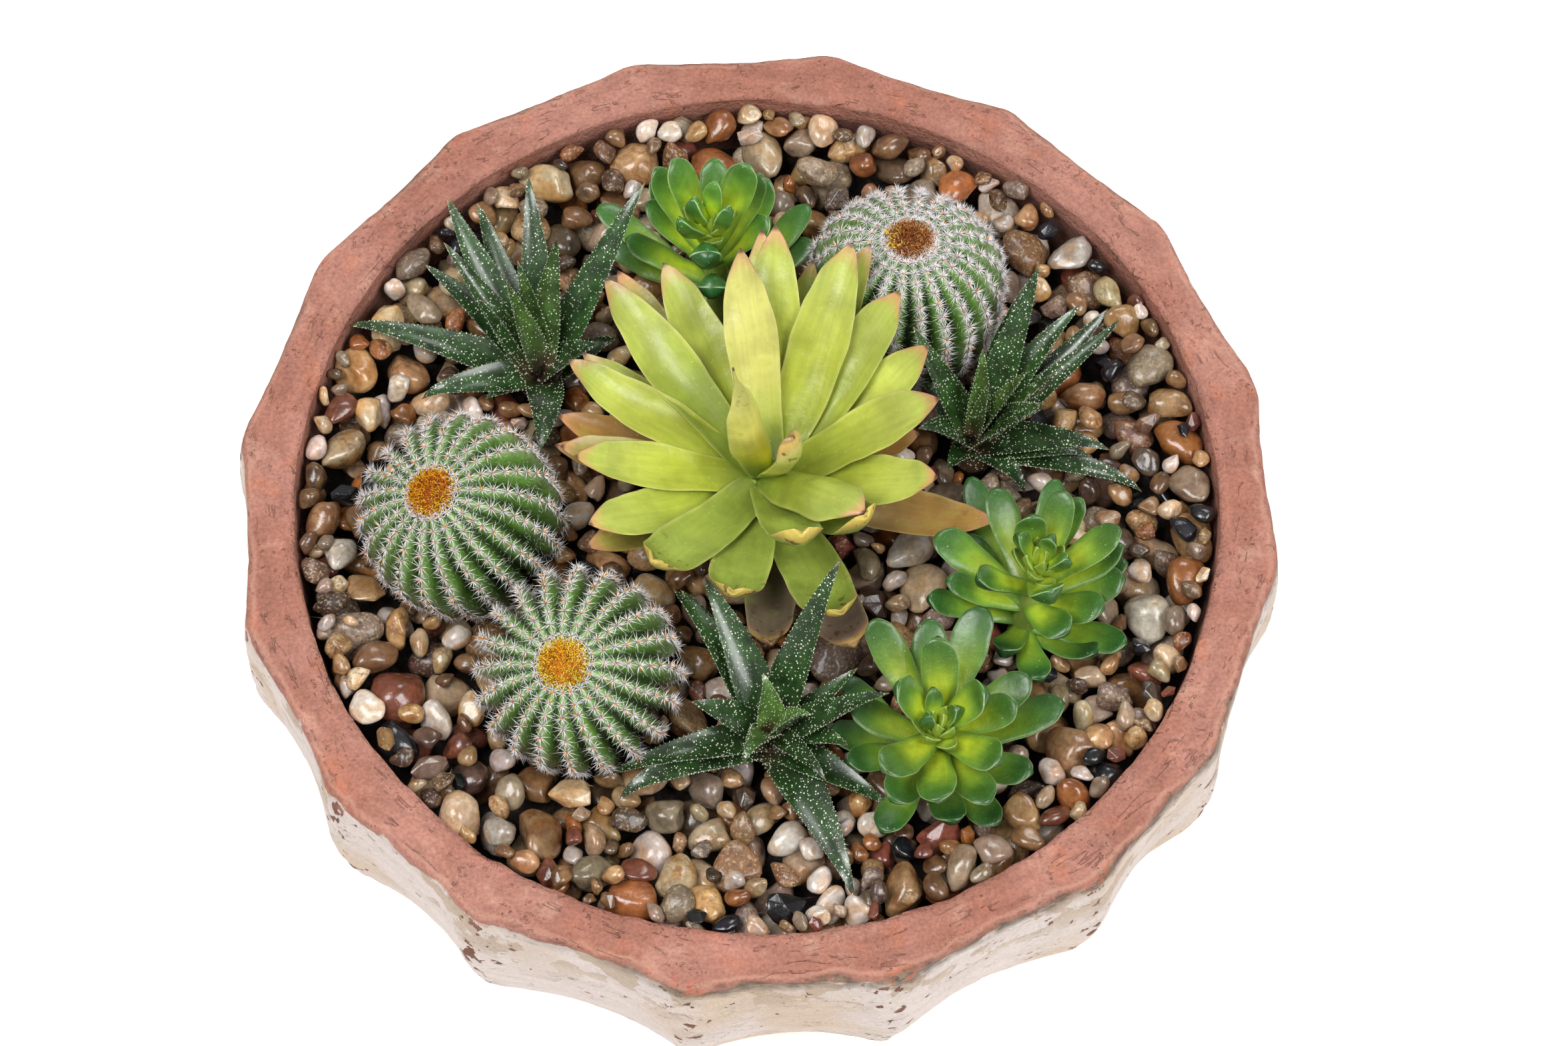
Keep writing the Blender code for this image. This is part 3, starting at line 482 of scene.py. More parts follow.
class Shader:
    """A material's nodes, ending in its Principled shader."""

    def __init__(self, name, roughness, sockets=None):
        self.material = bpy.data.materials.new(name)
        self.material.use_nodes = True
        self.nodes = self.material.node_tree.nodes
        self.links = self.material.node_tree.links
        self.surface = self.nodes["Principled BSDF"]
        self.surface.inputs["Roughness"].default_value = roughness
        for socket, value in (sockets or {}).items():
            self.surface.inputs[socket].default_value = value
        self.place = self.nodes.new("ShaderNodeTexCoord").outputs["Object"]

    def feed(self, socket, value):
        if isinstance(value, bpy.types.NodeSocket):
            self.links.new(value, socket)
        elif isinstance(value, tuple) and socket.type == "RGBA":
            socket.default_value = (*linear(value), 1)
        else:
            socket.default_value = value

    def add(self, kind, output, inputs, **settings):
        """One output of a new node, whose inputs are named or numbered."""
        node = self.nodes.new("ShaderNode" + kind)
        for key, value in settings.items():
            setattr(node, key, value)
        for key, value in inputs.items():
            self.feed(node.inputs[key], value)
        return node.outputs[output]

    def tint(self):
        return self.add("Attribute", "Color", {}, attribute_name="tint")

    def value(self, name):
        return self.add("Attribute", "Fac", {}, attribute_name=name)

    def math(self, operation, first, second=0.0):
        return self.add("Math", 0, {0: first, 1: second}, operation=operation)

    def scaled(self, value, factor, offset):
        return self.add("Math", 0, {0: value, 1: factor, 2: offset}, operation="MULTIPLY_ADD")

    def step(self, value, low, high):
        inputs = {"Value": value, "From Min": low, "From Max": high}
        return self.add("MapRange", 0, inputs, interpolation_type="SMOOTHSTEP")

    def band(self, value, low, start, end, high):
        """1 for a value from start to end, falling smoothly to 0 at low and high."""
        return self.part(self.step(value, low, start), self.step(value, high, end))

    def mix(self, share, first, second, kind="MIX"):
        return self.add("Mix", 2, {0: share, 6: first, 7: second}, data_type="RGBA", blend_type=kind)

    def part(self, share, amount):
        return self.math("MULTIPLY", share, amount)

    def over(self, colour, paint, share, amount):
        """A colour with paint laid over it, as thick as an amount where the share is 1."""
        return self.mix(self.part(share, amount), colour, paint)

    def either(self, first, second):
        return self.math("MAXIMUM", first, second)

    def toward(self, direction):
        """How many metres points lie from the bowl's axis towards a direction."""
        return self.add("VectorMath", "Value", {0: self.place, 1: direction}, operation="DOT_PRODUCT")

    def around(self, squeeze):
        """Coordinates around the bowl, squeezed that way, and down its wall."""
        flat = self.add("VectorMath", 0, {0: self.place, 1: (1.0, 1.0, 0.0)}, operation="MULTIPLY")
        way = self.add("VectorMath", 0, {0: flat}, operation="NORMALIZE")
        inputs = {0: way, "Scale": CORNER_RADIUS * MM * squeeze}
        around = self.add("VectorMath", 0, inputs, operation="SCALE")
        down = self.add("CombineXYZ", 0, {"Z": self.math("MULTIPLY", self.value("drop"), MM)})
        return self.add("VectorMath", 0, {0: around, 1: down}, operation="ADD")

    def lengthwise(self, squeeze):
        """Coordinates across a leaf and, squeezed, along it."""
        across = self.math("MULTIPLY", self.value("across"), MM)
        along = self.math("MULTIPLY", self.value("along"), MM * squeeze)
        return self.add("CombineXYZ", 0, {"X": across, "Y": along})

    def noise(self, size, detail=2.0, shift=None, place=None):
        """Noise with lumps of the given size. shift varies them."""
        inputs = {"Vector": place or self.place, "Scale": 1 / (size * MM), "Detail": detail}
        if shift is None:
            return self.add("TexNoise", 0, inputs)
        inputs["W"] = shift
        return self.add("TexNoise", 0, inputs, noise_dimensions="4D")

    def patches(self, size, detail, low, high, **where):
        """Soft-edged patches, 1 where noise lies beyond high and 0 where it hasn't reached low."""
        return self.step(self.noise(size, detail, **where), low, high)

    def ridges(self, size, detail, **where):
        """0 on winding lines where noise crosses its middle, and more beside them."""
        return self.math("ABSOLUTE", self.math("SUBTRACT", self.noise(size, detail, **where), 0.5))

    def cells(self, size):
        """Distance to the nearest of scattered points, from 0 at the point."""
        return self.add("TexVoronoi", "Distance", {"Vector": self.place, "Scale": 1 / (size * MM)})

    def shade(self, colour, share, low, high):
        """A colour made darker or lighter as a share goes from 0 to 1."""
        return self.mix(1.0, colour, self.scaled(share, high - low, low), "MULTIPLY")

    def mottle(self, colour, size, detail, low, high, **where):
        """A colour made darker and lighter by noise."""
        return self.shade(colour, self.patches(size, detail, 0.3, 0.7, **where), low, high)

    def fibrous(self, colour, size, squeeze, low, high):
        """A leaf's colour made darker and lighter by fibres along it, and the fibres themselves."""
        fibres = self.noise(size, 3, place=self.lengthwise(squeeze))
        return self.shade(colour, self.step(fibres, 0.3, 0.7), low, high), fibres

    def relief(self, *layers):
        """Bumps from (height, depth in millimetres) layers, the coarse ones first."""
        normal = None
        for height, depth in layers:
            inputs = {"Height": height, "Distance": depth * MM, "Strength": 1.0}
            if normal is not None:
                inputs["Normal"] = normal
            normal = self.add("Bump", 0, inputs)
        self.feed(self.surface.inputs["Normal"], normal)

    def done(self, colour, roughness=None):
        self.feed(self.surface.inputs["Base Color"], colour)
        if roughness is not None:
            self.feed(self.surface.inputs["Roughness"], roughness)
        return self.material


# Bowl
CLAY = (0.70, 0.49, 0.43)
CLAY_ROSE = (0.65, 0.435, 0.37)
CLAY_ORANGE = (0.76, 0.46, 0.33)
CLAY_PALE = (0.78, 0.60, 0.52)
CLAY_PIT = (0.44, 0.29, 0.24)
CHIP_BROWN = (0.44, 0.30, 0.24)
LIME = (0.86, 0.805, 0.775)
LIME_CREAM = (0.825, 0.74, 0.66)
UNDERCOAT = (0.74, 0.65, 0.56)
SPECK_BROWN = (0.55, 0.38, 0.29)
JOINT_OLIVE = (0.54, 0.46, 0.38)
JOINT_DARK = (0.33, 0.28, 0.23)
CHIP_ORANGE = (0.80, 0.42, 0.27)
WEATHERED = (0.36, 0.31, 0.27)
# dark brown painted low on the inner wall as shade beside the pebbles
INNER_PAINTED_SHADE = (0.30, 0.20, 0.16)
STAINED_SIDE = (0.55, -0.83, 0.0)       # ways from the bowl's axis
WEATHERED_SIDE = (-0.35, 0.94, 0.0)
CLAY_LUMPS = ((24, 0.7), (8, 0.3), (3.4, 0.2))      # size and height of the wall's unevenness
CHIP_DEPTH = 2.6
ARRIS_WIDTH = 6.0
EDGE_WEAR = 0.9                 # unevenness of the rim's inner edge


def corner_angles():
    pitch = 360 / FLUTES
    return [FIRST_CORNER_DEG + i * pitch + CORNER_WOBBLE_DEG[-i % FLUTES] for i in range(FLUTES)]


def bowl_columns():
    """Angle of each column, its place within its flute from 0 to 1, and the flute's span."""
    corners = corner_angles()
    angles, shares, spans = [], [], []
    for i, start in enumerate(corners):
        span = corners[(i + 1) % FLUTES] + (360 if i == FLUTES - 1 else 0) - start
        share = np.arange(FLUTE_COLUMNS) / FLUTE_COLUMNS
        angles.append(start + span * share)
        shares.append(share)
        spans.append(np.full(FLUTE_COLUMNS, span))
    return np.concatenate(angles), np.concatenate(shares), np.concatenate(spans)


def fluted_radius(corner, depth, share, span):
    """Radius on a shallow inward curve between two arrises at radius corner."""
    half = np.radians(span / 2)
    turn = np.radians(span) * (share - 0.5)
    return corner * np.cos(half) / np.cos(turn) - depth * 4 * share * (1 - share)


def soften(row, times):
    """A closed row of values with its sharp turns rounded."""
    for _ in range(times):
        row = (np.roll(row, 1) + row * 2 + np.roll(row, -1)) / 4
    return row


def surface_normals(grid):
    """Unit normals of a grid of points whose rows are closed."""
    along = np.gradient(grid, axis=0)
    around = np.roll(grid, -1, axis=1) - np.roll(grid, 1, axis=1)
    return unit(np.cross(around, along))


def bowl_rings():
    """Rings of the bowl from its foot over the rim to its inside floor, and each ring's drop.

    The drop is how far down the wall a ring lies from the rim's outer edge, below 0 on the rim.
    """
    angles, shares, spans = bowl_columns()
    heights, steps, depths = np.transpose(OUTER_PROFILE)
    rings, drops = [], []
    for height in np.linspace(0, heights[-1], OUTER_ROWS):
        step_out, depth = (smooth_curve(height, heights, values) for values in (steps, depths))
        radius = soften(fluted_radius(CORNER_RADIUS + step_out, depth, shares, spans), 5)
        rings.append(polar(radius, angles, height))
        drops.append(heights[-1] - height)
    edge = soften(fluted_radius(CORNER_RADIUS, depths[-1], shares, spans), 5)
    for turn in np.radians((22, 45, 68, 90)):
        inset = RIM_ROUNDING * (1 - math.cos(turn))
        rings.append(polar(edge - inset, angles, RIM_HEIGHT - RIM_ROUNDING * (1 - math.sin(turn))))
        drops.append(-inset)
    for share in np.linspace(0.08, 1, 10):
        outer, inner = edge - RIM_ROUNDING, INNER_RADIUS + RIM_ROUNDING * 0.6
        rings.append(polar(outer + (inner - outer) * share, angles, RIM_HEIGHT))
        drops.append(-RIM_ROUNDING - share * RIM_WIDTH)
    inner_heights, inner_steps = np.transpose(INNER_PROFILE)
    for height in (114.4, 113.4, *np.linspace(111.8, 88, 14), 70, 50, 30, 20, 14):
        inset = smooth_curve(height, inner_heights, inner_steps)
        rings.append(polar(INNER_RADIUS + inset, angles, height))
        drops.append(-RIM_ROUNDING - RIM_WIDTH - (RIM_HEIGHT - height))
    return np.array(rings), np.array(drops), shares


def make_bowl():
    rings, drops, shares = bowl_rings()
    arris = np.exp(-((np.minimum(shares, 1 - shares) * FLUTE_WIDTH / ARRIS_WIDTH) ** 2))
    outside = step(drops, -6, 4)[:, None]
    free = step(rings[..., 2], 0.5, 5)
    depth = sum(height * lumps(rings, size, seed) for seed, (size, height) in enumerate(CLAY_LUMPS, 1))
    chips = np.clip(lumps(rings, 5.5, 4) + 0.25 * lumps(rings, 2.4, 5) - 0.12, 0, 0.6)
    depth = depth - CHIP_DEPTH * chips * arris * outside
    inner_edge = np.exp(-(((drops + RIM_ROUNDING + RIM_WIDTH) / 2.5) ** 2))[:, None]
    depth = depth + EDGE_WEAR * inner_edge * (lumps(rings, 9, 6) + 0.6 * lumps(rings, 4, 7))
    points = rings + surface_normals(rings) * (depth * free)[..., None]
    points[..., 2] = np.maximum(points[..., 2], 0)
    shells = Shells()
    chipped = np.broadcast_to(arris, chips.shape) * outside
    add_tube(shells, points, CLAY, drop=np.broadcast_to(drops[:, None], chips.shape), arris=chipped)
    add_piece("bowl_body", shells, bowl_material(), "bowl")


def clay_colour(s):
    """Rough pinkish terracotta with orange and pale patches, streaks and cracks around it, and pits."""
    colour = s.mix(s.patches(34, 3, 0.4, 0.62), CLAY, CLAY_ROSE)
    colour = s.over(colour, CLAY_ORANGE, s.patches(15, 4, 0.57, 0.72), 0.4)
    colour = s.over(colour, CLAY_PALE, s.patches(10, 5, 0.55, 0.75), 0.5)
    colour = s.mottle(colour, 5, 5, 0.88, 1.1, place=s.around(0.3))
    colour = s.mottle(colour, 1.1, 4, 0.84, 1.12)
    pits = s.part(s.patches(1.9, 4, 0.62, 0.7), s.patches(13, 3, 0.47, 0.6))
    lines = s.step(s.ridges(7, 3, place=s.around(0.22)), 0.014, 0.004)
    cracks = s.part(lines, s.patches(9, 2, 0.54, 0.6))
    marks = s.either(pits, cracks)
    return s.over(colour, CLAY_PIT, marks, 0.3), marks


def lime_colour(s):
    """Off-white limewash with cream parts, worn patches near the rim, and small dark dashes."""
    colour = s.mix(s.patches(50, 2, 0.44, 0.62), LIME, LIME_CREAM)
    worn = s.part(s.patches(15, 5, 0.53, 0.555), s.step(s.value("drop"), 34, 10))
    colour = s.over(colour, UNDERCOAT, worn, 0.8)
    colour = s.mottle(colour, 6, 5, 0.93, 1.03, place=s.around(0.25))
    colour = s.mottle(colour, 1.2, 4, 0.93, 1.04)
    dashes = s.part(s.patches(1.5, 3, 0.65, 0.69, place=s.around(0.45)), s.patches(13, 2, 0.45, 0.58))
    return s.over(colour, SPECK_BROWN, dashes, 0.55), dashes


def with_joint(s, colour, line):
    """The colour with a joint below the rim, dark on one side and faint elsewhere, and a pale lip."""
    strength = s.scaled(s.step(s.toward(STAINED_SIDE), 0.07, 0.15), 0.8, 0.08)
    joint = s.part(s.band(line, -1.0, 1.0, 1.6, 8.0), s.patches(9, 3, 0.25, 0.5))
    grit = s.mix(s.patches(1.6, 4, 0.38, 0.6, place=s.around(0.3)), JOINT_OLIVE, JOINT_DARK)
    colour = s.mix(s.part(joint, strength), colour, grit)
    return s.over(colour, CLAY_PALE, s.band(line, -3.2, -1.8, -1.4, -0.6), 0.4)


def with_wear_and_shade(s, colour, line, drop, arris):
    """The colour with fresh chips at the corners, a weathered back and painted shade low inside."""
    corner = s.part(arris, s.band(line, -7, -4, 1, 4))
    colour = s.over(colour, CHIP_ORANGE, s.part(corner, s.patches(4, 4, 0.53, 0.6)), 0.85)
    stain = s.part(s.step(s.toward(WEATHERED_SIDE), 0.05, 0.13), s.band(drop, -4, 2, 6, 50))
    colour = s.over(colour, WEATHERED, s.part(stain, s.patches(11, 5, 0.44, 0.66)), 0.7)
    # painted shade: the inner wall turns dark below the rim, where it meets the pebbles
    return s.over(colour, INNER_PAINTED_SHADE, s.step(drop, -22, -27), 0.75)


def bowl_material():
    s = Shader("limewashed_clay", 0.85, {"Specular IOR Level": 0.3})
    clay, marks = clay_colour(s)
    lime, dashes = lime_colour(s)
    drop, arris = s.value("drop"), s.value("arris")
    line = s.math("ADD", drop, s.scaled(s.noise(10, 5), 9.0, -4.5))
    chips = s.step(s.math("ADD", s.noise(5, 5), s.part(arris, 0.12)), 0.685, 0.7)
    painted = s.part(s.step(line, 0.6, 1.3), s.math("SUBTRACT", 1.0, chips))
    bare = s.mix(s.part(s.step(drop, 1, 6), 0.85), clay, s.shade(CHIP_BROWN, s.noise(1.5, 3), 0.6, 1.4))
    colour = with_joint(s, s.mix(painted, bare, lime), line)
    s.relief(
        (painted, 0.25), (s.noise(5, 3), 0.5), (s.noise(2.0, 5), 0.8), (s.noise(0.8, 4), 0.42),
        (s.either(marks, dashes), -0.45),
    )
    return s.done(with_wear_and_shade(s, colour, line, drop, arris), s.scaled(s.noise(5), 0.2, 0.72))


# Soil
SOIL_DARK = (0.10, 0.075, 0.06)
SOIL_CRUMB = (0.22, 0.16, 0.12)


def finish_soil():
    """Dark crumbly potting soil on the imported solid, seen only between the pebbles."""
    s = Shader("crumbly_soil", 0.95)
    colour = s.mix(s.patches(2.4, 4, 0.5, 0.7), SOIL_DARK, SOIL_CRUMB)
    s.relief((s.cells(2.2), 0.9), (s.noise(1.0, 4), 0.6))
    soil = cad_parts["potting_soil"]
    soil.data.materials.clear()
    soil.data.materials.append(s.done(colour))


# Leaves
ROSETTE_BASE = (0.40, 0.48, 0.13)
ROSETTE_GREEN = (0.56, 0.64, 0.22)
ROSETTE_LIGHT = (0.71, 0.77, 0.31)
ROSETTE_YELLOW = (0.80, 0.79, 0.20)
ROSETTE_CREAM = (0.93, 0.89, 0.52)
ROSETTE_OLIVE = (0.60, 0.67, 0.31)
ROSETTE_EDGE = (0.88, 0.86, 0.55)
ROSETTE_LIP = (0.87, 0.77, 0.38)
ROSETTE_TIP = (0.86, 0.62, 0.45)
ROSETTE_POINT = (0.36, 0.20, 0.16)
ROSETTE_TAN = (0.76, 0.55, 0.30)
ROSETTE_MAUVE = (0.50, 0.42, 0.37)
LEAF_SPOT = (0.33, 0.19, 0.12)
HAWORTHIA_DARK = (0.05, 0.09, 0.05)
HAWORTHIA_GREEN = (0.15, 0.26, 0.11)
HAWORTHIA_INNER = (0.34, 0.46, 0.20)
HAWORTHIA_EDGE = (0.52, 0.58, 0.40)
HAWORTHIA_TIP = (0.45, 0.36, 0.22)
HAWORTHIA_FOOT = (0.30, 0.23, 0.16)
PEARL = (0.97, 0.98, 0.88)
SEDUM_LIME = (0.72, 0.78, 0.18)
SEDUM_GREEN = (0.36, 0.53, 0.18)
SEDUM_DEEP = (0.10, 0.27, 0.12)
SEDUM_EDGE = (0.78, 0.86, 0.62)
SEDUM_HEART = (0.74, 0.80, 0.30)
SEDUM_STEM = (0.52, 0.60, 0.26)


def leaf_spine(root, tip, share, arch, curl, roll, sway):
    """Points along a leaf's middle line, and the ways across the leaf and out of its face there."""
    outward = unit((tip - root) * (1, 1, 0))
    side = np.array((outward[1], -outward[0], 0.0))
    middle = (root + tip) / 2 + (0, 0, arch) + side * sway
    line = root * (1 - share) ** 2 + middle * 2 * share * (1 - share) + tip * share**2
    normal = np.cross(side, unit(np.gradient(line, axis=0)))
    line = line + normal * curl * np.clip((share - CURL_START) / (1 - CURL_START), 0, 1) ** 2
    normal = np.cross(side, unit(np.gradient(line, axis=0)))
    turn = np.radians(roll) * share
    across = side * np.cos(turn) + normal * np.sin(turn)
    return line, across, normal * np.cos(turn) - side * np.sin(turn)


def leaf_row(t, rows):
    """The row, with fractions, that lies at a place along a leaf."""
    return (1 - (1 - t) ** (1 / ROW_CROWDING)) * (rows - 1)


def leaf_rings(root, tip, width, kind, curl=0.0, roll=0.0, sway=0.0, arch=0.0):
    """Rings of points of one leaf, and each point's place along and across it and how it faces up.

    The last result holds values for the leaf's material: its place across and along in millimetres.
    """
    t = 1 - (1 - np.linspace(0, 1, kind["rows"])) ** ROW_CROWDING
    line, across, normal = leaf_spine(root, tip, t[:, None], kind["arch"] + arch, curl, roll, sway)
    sections = np.transpose(kind["sections"])
    half, edge, upper, lower = (smooth_curve(t, sections[0], row)[:, None] for row in sections[1:])
    theta = 2 * np.pi * np.arange(kind["columns"]) / kind["columns"]
    u, up = np.broadcast_to(np.cos(theta), (len(t), len(theta))), -np.sin(theta)
    rim = kind["margin"] * np.sqrt(half)
    above = edge * u**2 + upper * (1 - u**2)
    below = edge * np.abs(u) ** 1.5 - lower * (1 - np.abs(u) ** 1.5)
    rise = np.where(up >= 0, above, below) + rim * up
    spread = half * width / 2 * u
    rings = line[:, None] + across[:, None] * spread[..., None] + normal[:, None] * rise[..., None]
    t = np.broadcast_to(t[:, None], u.shape)
    values = {"across": spread, "along": t * np.linalg.norm(tip - root) + 7 * root[0] + 11 * tip[1]}
    return rings, t, u, np.broadcast_to(up, u.shape), values


def stem_ends(plant):
    return np.array(plant["foot"], float), np.array(plant["crown"], float)


def stem_point(plant, height):
    foot, crown = stem_ends(plant)
    return foot + (crown - foot) * (height - foot[2]) / (crown[2] - foot[2])


def leaf_ends(plant, leaf):
    azimuth, reach, tip_height, root_height, _ = leaf
    foot, _ = stem_ends(plant)
    tip = foot * (1, 1, 0) + polar(reach, azimuth, tip_height)
    return stem_point(plant, root_height), tip


def add_stem(shells, plant, colour, **values):
    """The plant's stem from below the pebbles up to its crown."""
    foot, crown = stem_ends(plant)
    low = np.array((foot[0], foot[1], NECK_FOOT))
    levels = [(low, plant["neck"]), (foot, plant["neck"])]
    levels += [(foot + (crown - foot) * share, plant["core"] * taper) for share, taper in STEM_TAPER]
    rings = np.array([centre + polar(radius, STEM_ANGLES) for centre, radius in levels])
    add_tube(shells, drift(rings, 5, 0.8), colour, **values)


def rosette_colours(t, u, up, look):
    """Colours of a rosette leaf, whose look gives shares from 0 to 1."""
    across = np.abs(u)
    faded = blend(ROSETTE_MAUVE, ROSETTE_TAN, look["orange"] * step(t, 0.2, 0.8))
    outline = step(across, 0.88, 1.0) * step(t, 0.84, 0.97) * (1 - look["lip"])
    return layered(
        ROSETTE_BASE,
        (ROSETTE_GREEN, step(t, 0.0, 0.35)),
        (ROSETTE_LIGHT, step(t, 0.2, 0.8) * (1 - look["dull"])),
        (ROSETTE_YELLOW, look["yellow"] * step(t, 0.05, 0.3) * step(t, 0.95, 0.45)),
        (ROSETTE_OLIVE, 0.7 * look["dull"] * np.ones_like(t)),
        (ROSETTE_OLIVE, 0.6 * step(-up, 0.1, 0.5)),
        (ROSETTE_CREAM, look["cream"] * step(t, 0.1, 0.5)),
        (faded, look["tan"] * step(t, 0.0, 0.3)),
        (ROSETTE_EDGE, 0.22 * step(t, 0.45, 0.85) * (1 - look["dull"]) * (1 - look["tan"])),
        (ROSETTE_EDGE, 0.6 * step(across, 0.91, 1.0) * (1 - 0.5 * look["tan"])),
        (ROSETTE_TIP, look["tip"] * step(t + 0.05 * across**2, 0.9, 1.0)),
        (ROSETTE_LIP, look["lip"] * step(t + 0.02 * across**2, 0.93, 0.97)),
        (ROSETTE_POINT, 0.55 * outline),
        (ROSETTE_POINT, (1 - look["lip"]) * step(t, 0.975, 0.995)),
    )


def rosette_look(rng, number, azimuth, tip_height):
    """The kind, the curl and the shares of colour of a rosette leaf."""
    in_front = float(step(abs((azimuth - SPOON_SIDE + 180) % 360 - 180), *SPOON_SPREAD))
    aged = float(step(AGED_BELOW - tip_height, 0, 10))
    look = {
        "dull": 0.75 * in_front + 0.3 * aged + rng.uniform(-0.1, 0.2), "yellow": rng.uniform(0.0, 0.45),
        "tan": aged * rng.uniform(0.75, 1.0), "orange": 1 - in_front, "cream": 0.0, "lip": 0.0,
        "tip": rng.uniform(0.6, 1.0), "spots": 0.3 * aged,
    }
    look["dull"] = min(max(look["dull"], 0.0), 1.0)
    if number == 0:
        return ROSETTE_BUD, 0, {**look, "dull": 0.0, "yellow": 0.9, "cream": 0.75, "tip": 0.0, "spots": 0.7}
    if number == 1:
        return ROSETTE_SPOON, 5, {**look, "dull": 0.0, "yellow": 0.8, "cream": 0.8, "lip": 0.6, "spots": 0.8}
    if number == 2:
        return ROSETTE_FOLD, -3, {**look, "dull": 0.35, "tip": 1.0}
    if number == SHEEN_PAINTED_LEAF:
        # cream laid over this leaf as a painted sheen
        look["cream"] = 0.75
    if in_front > 0.3:
        look.update(lip=1.0 - 0.5 * aged, spots=0.9, yellow=0.15)
        return ROSETTE_SPOON, rng.uniform(5, 8) * (1 - 0.6 * aged), look
    return ROSETTE_LEAF, rng.uniform(-1.5, 2.5), look


def haworthia_colours(t, u, up, inner):
    green = layered(
        HAWORTHIA_GREEN,
        (HAWORTHIA_INNER, inner * (1 - 0.5 * t)),
        (HAWORTHIA_DARK, 0.85 * step(-up, -0.1, 0.5) * (1 - 0.5 * inner)),
    )
    return layered(
        HAWORTHIA_FOOT,
        (green, step(t, 0.03, 0.25)),
        (HAWORTHIA_EDGE, 0.3 * step(np.abs(u), 0.94, 1.0) * step(t, 0.1, 0.3)),
        (HAWORTHIA_TIP, step(t, 0.95, 0.99)),
    )


def sedum_colours(t, u, up, young):
    across = np.abs(u)
    middle = step(across, 0.95, 0.35) * step(t, 0.08, 0.3) * step(t, 0.9, 0.45)
    return layered(
        SEDUM_GREEN,
        (SEDUM_LIME, young * (0.22 + 0.78 * middle) + (1 - young) * 0.45 * middle),
        (SEDUM_DEEP, (0.75 - 0.35 * young) * step(-up, -0.3, 0.5)),
        (SEDUM_DEEP, 0.75 * step(t, 0.6, 1.0) * (1 - 0.3 * young)),
        (SEDUM_EDGE, 0.7 * step(across, 0.94, 1.0) * step(up, -0.6, 0.0) * step(t, 0.3, 0.6)),
    )


def make_rosette():
    rng = np.random.default_rng(ROSETTE_SEED)
    shells = Shells()
    add_stem(shells, ROSETTE, ROSETTE_GREEN, spots=0.0, across=0.0, along=0.0)
    for number, leaf in enumerate(ROSETTE["leaves"]):
        azimuth, _, tip_height, _, width = leaf
        kind, curl, look = rosette_look(rng, number, azimuth, tip_height)
        root, tip = leaf_ends(ROSETTE, leaf)
        roll, sway, arch = rng.uniform(-4, 4), rng.uniform(-1.5, 1.5), rng.uniform(-0.5, 0.5)
        rings, t, u, up, values = leaf_rings(root, tip, width, kind, curl, roll, sway, arch)
        rings = drift(drift(rings, 24, 1.2), 8, 0.4)
        colour = rosette_colours(t, u, up, look) * rng.uniform(0.92, 1.01)
        add_tube(shells, rings, colour, spots=look["spots"] * step(t, 0.6, 0.95), **values)
    add_piece("golden_rosette_leaves", shells, rosette_material(), "golden_rosette")
    return shells


def leaf_shader(name, roughness, coat=0.0, scatter=0.12):
    sockets = {
        "Subsurface Weight": scatter, "Subsurface Radius": (0.6, 1.0, 0.25), "Subsurface Scale": 1.6 * MM,
        "Coat Weight": coat, "Coat Roughness": 0.2,
    }
    return Shader(name, roughness, sockets)


def rosette_material():
    s = leaf_shader("golden_leaf_skin", 0.35, coat=0.15)
    colour = s.shade(s.tint(), s.patches(14, 4, 0.32, 0.68), 0.8, 1.14)
    colour = s.over(colour, ROSETTE_GREEN, s.patches(7, 5, 0.56, 0.7), 0.3)
    colour, fibres = s.fibrous(colour, 1.5, 0.08, 0.93, 1.05)
    colour = s.over(colour, ROSETTE_EDGE, s.step(s.cells(2.6), 0.16, 0.08), 0.25)
    spots = s.part(s.patches(3.4, 4, 0.6, 0.64), s.value("spots"))
    colour = s.over(colour, LEAF_SPOT, spots, 0.85)
    s.relief((s.noise(6, 3), 0.35), (fibres, 0.06), (s.noise(0.8, 3), 0.04))
    return s.done(colour, s.scaled(s.noise(4, 3), 0.16, 0.26))


def surface_points(rings, rows, columns):
    """Points and outward normals of a closed grid at fractional rows and columns."""
    normals = surface_normals(rings)
    low_row = np.minimum(rows.astype(int), len(rings) - 2)
    low_column = columns.astype(int) % rings.shape[1]
    next_column = (low_column + 1) % rings.shape[1]
    a, b = (rows - low_row)[:, None], (columns % 1)[:, None]
    results = []
    for grid in (rings, normals):
        near = grid[low_row, low_column] * (1 - b) + grid[low_row, next_column] * b
        far = grid[low_row + 1, low_column] * (1 - b) + grid[low_row + 1, next_column] * b
        results.append(near * (1 - a) + far * a)
    return results[0], unit(results[1])


def add_pearls(shells, rings, rng, length, width):
    """Pale raised dots scattered over a leaf, and small teeth along its edges."""
    rows, columns = rings.shape[:2]
    count = int(length * width / 2.4)
    lane = rng.choice((0.0, 0.5), count) + rng.uniform(0.03, 0.47, count)
    t = rng.uniform(0.08, 0.95, count) ** 0.85
    row = leaf_row(t, rows)
    feet, normals = surface_points(rings, row, lane * columns)
    size = rng.uniform(0.17, 0.36, count) * (1.1 - 0.4 * t)
    add_spikes(shells, feet - normals * size[:, None] * 0.2, normals, size * 0.9, size, PEARL, PEARL)
    for edge in (0.0, 0.5):
        t = np.clip(np.arange(2.0, length * 0.95, 1.6) / length, 0.06, 0.95)
        row = leaf_row(t, rows)
        feet, normals = surface_points(rings, row, np.full(len(t), edge * columns))
        lean = unit(np.broadcast_to(rings[-1, 0] - rings[0, 0], feet.shape))
        size = 0.24 * (1.1 - 0.5 * t)
        add_spikes(shells, feet - normals * 0.1, normals + lean * 0.5, size * 2, size, PEARL, PEARL)


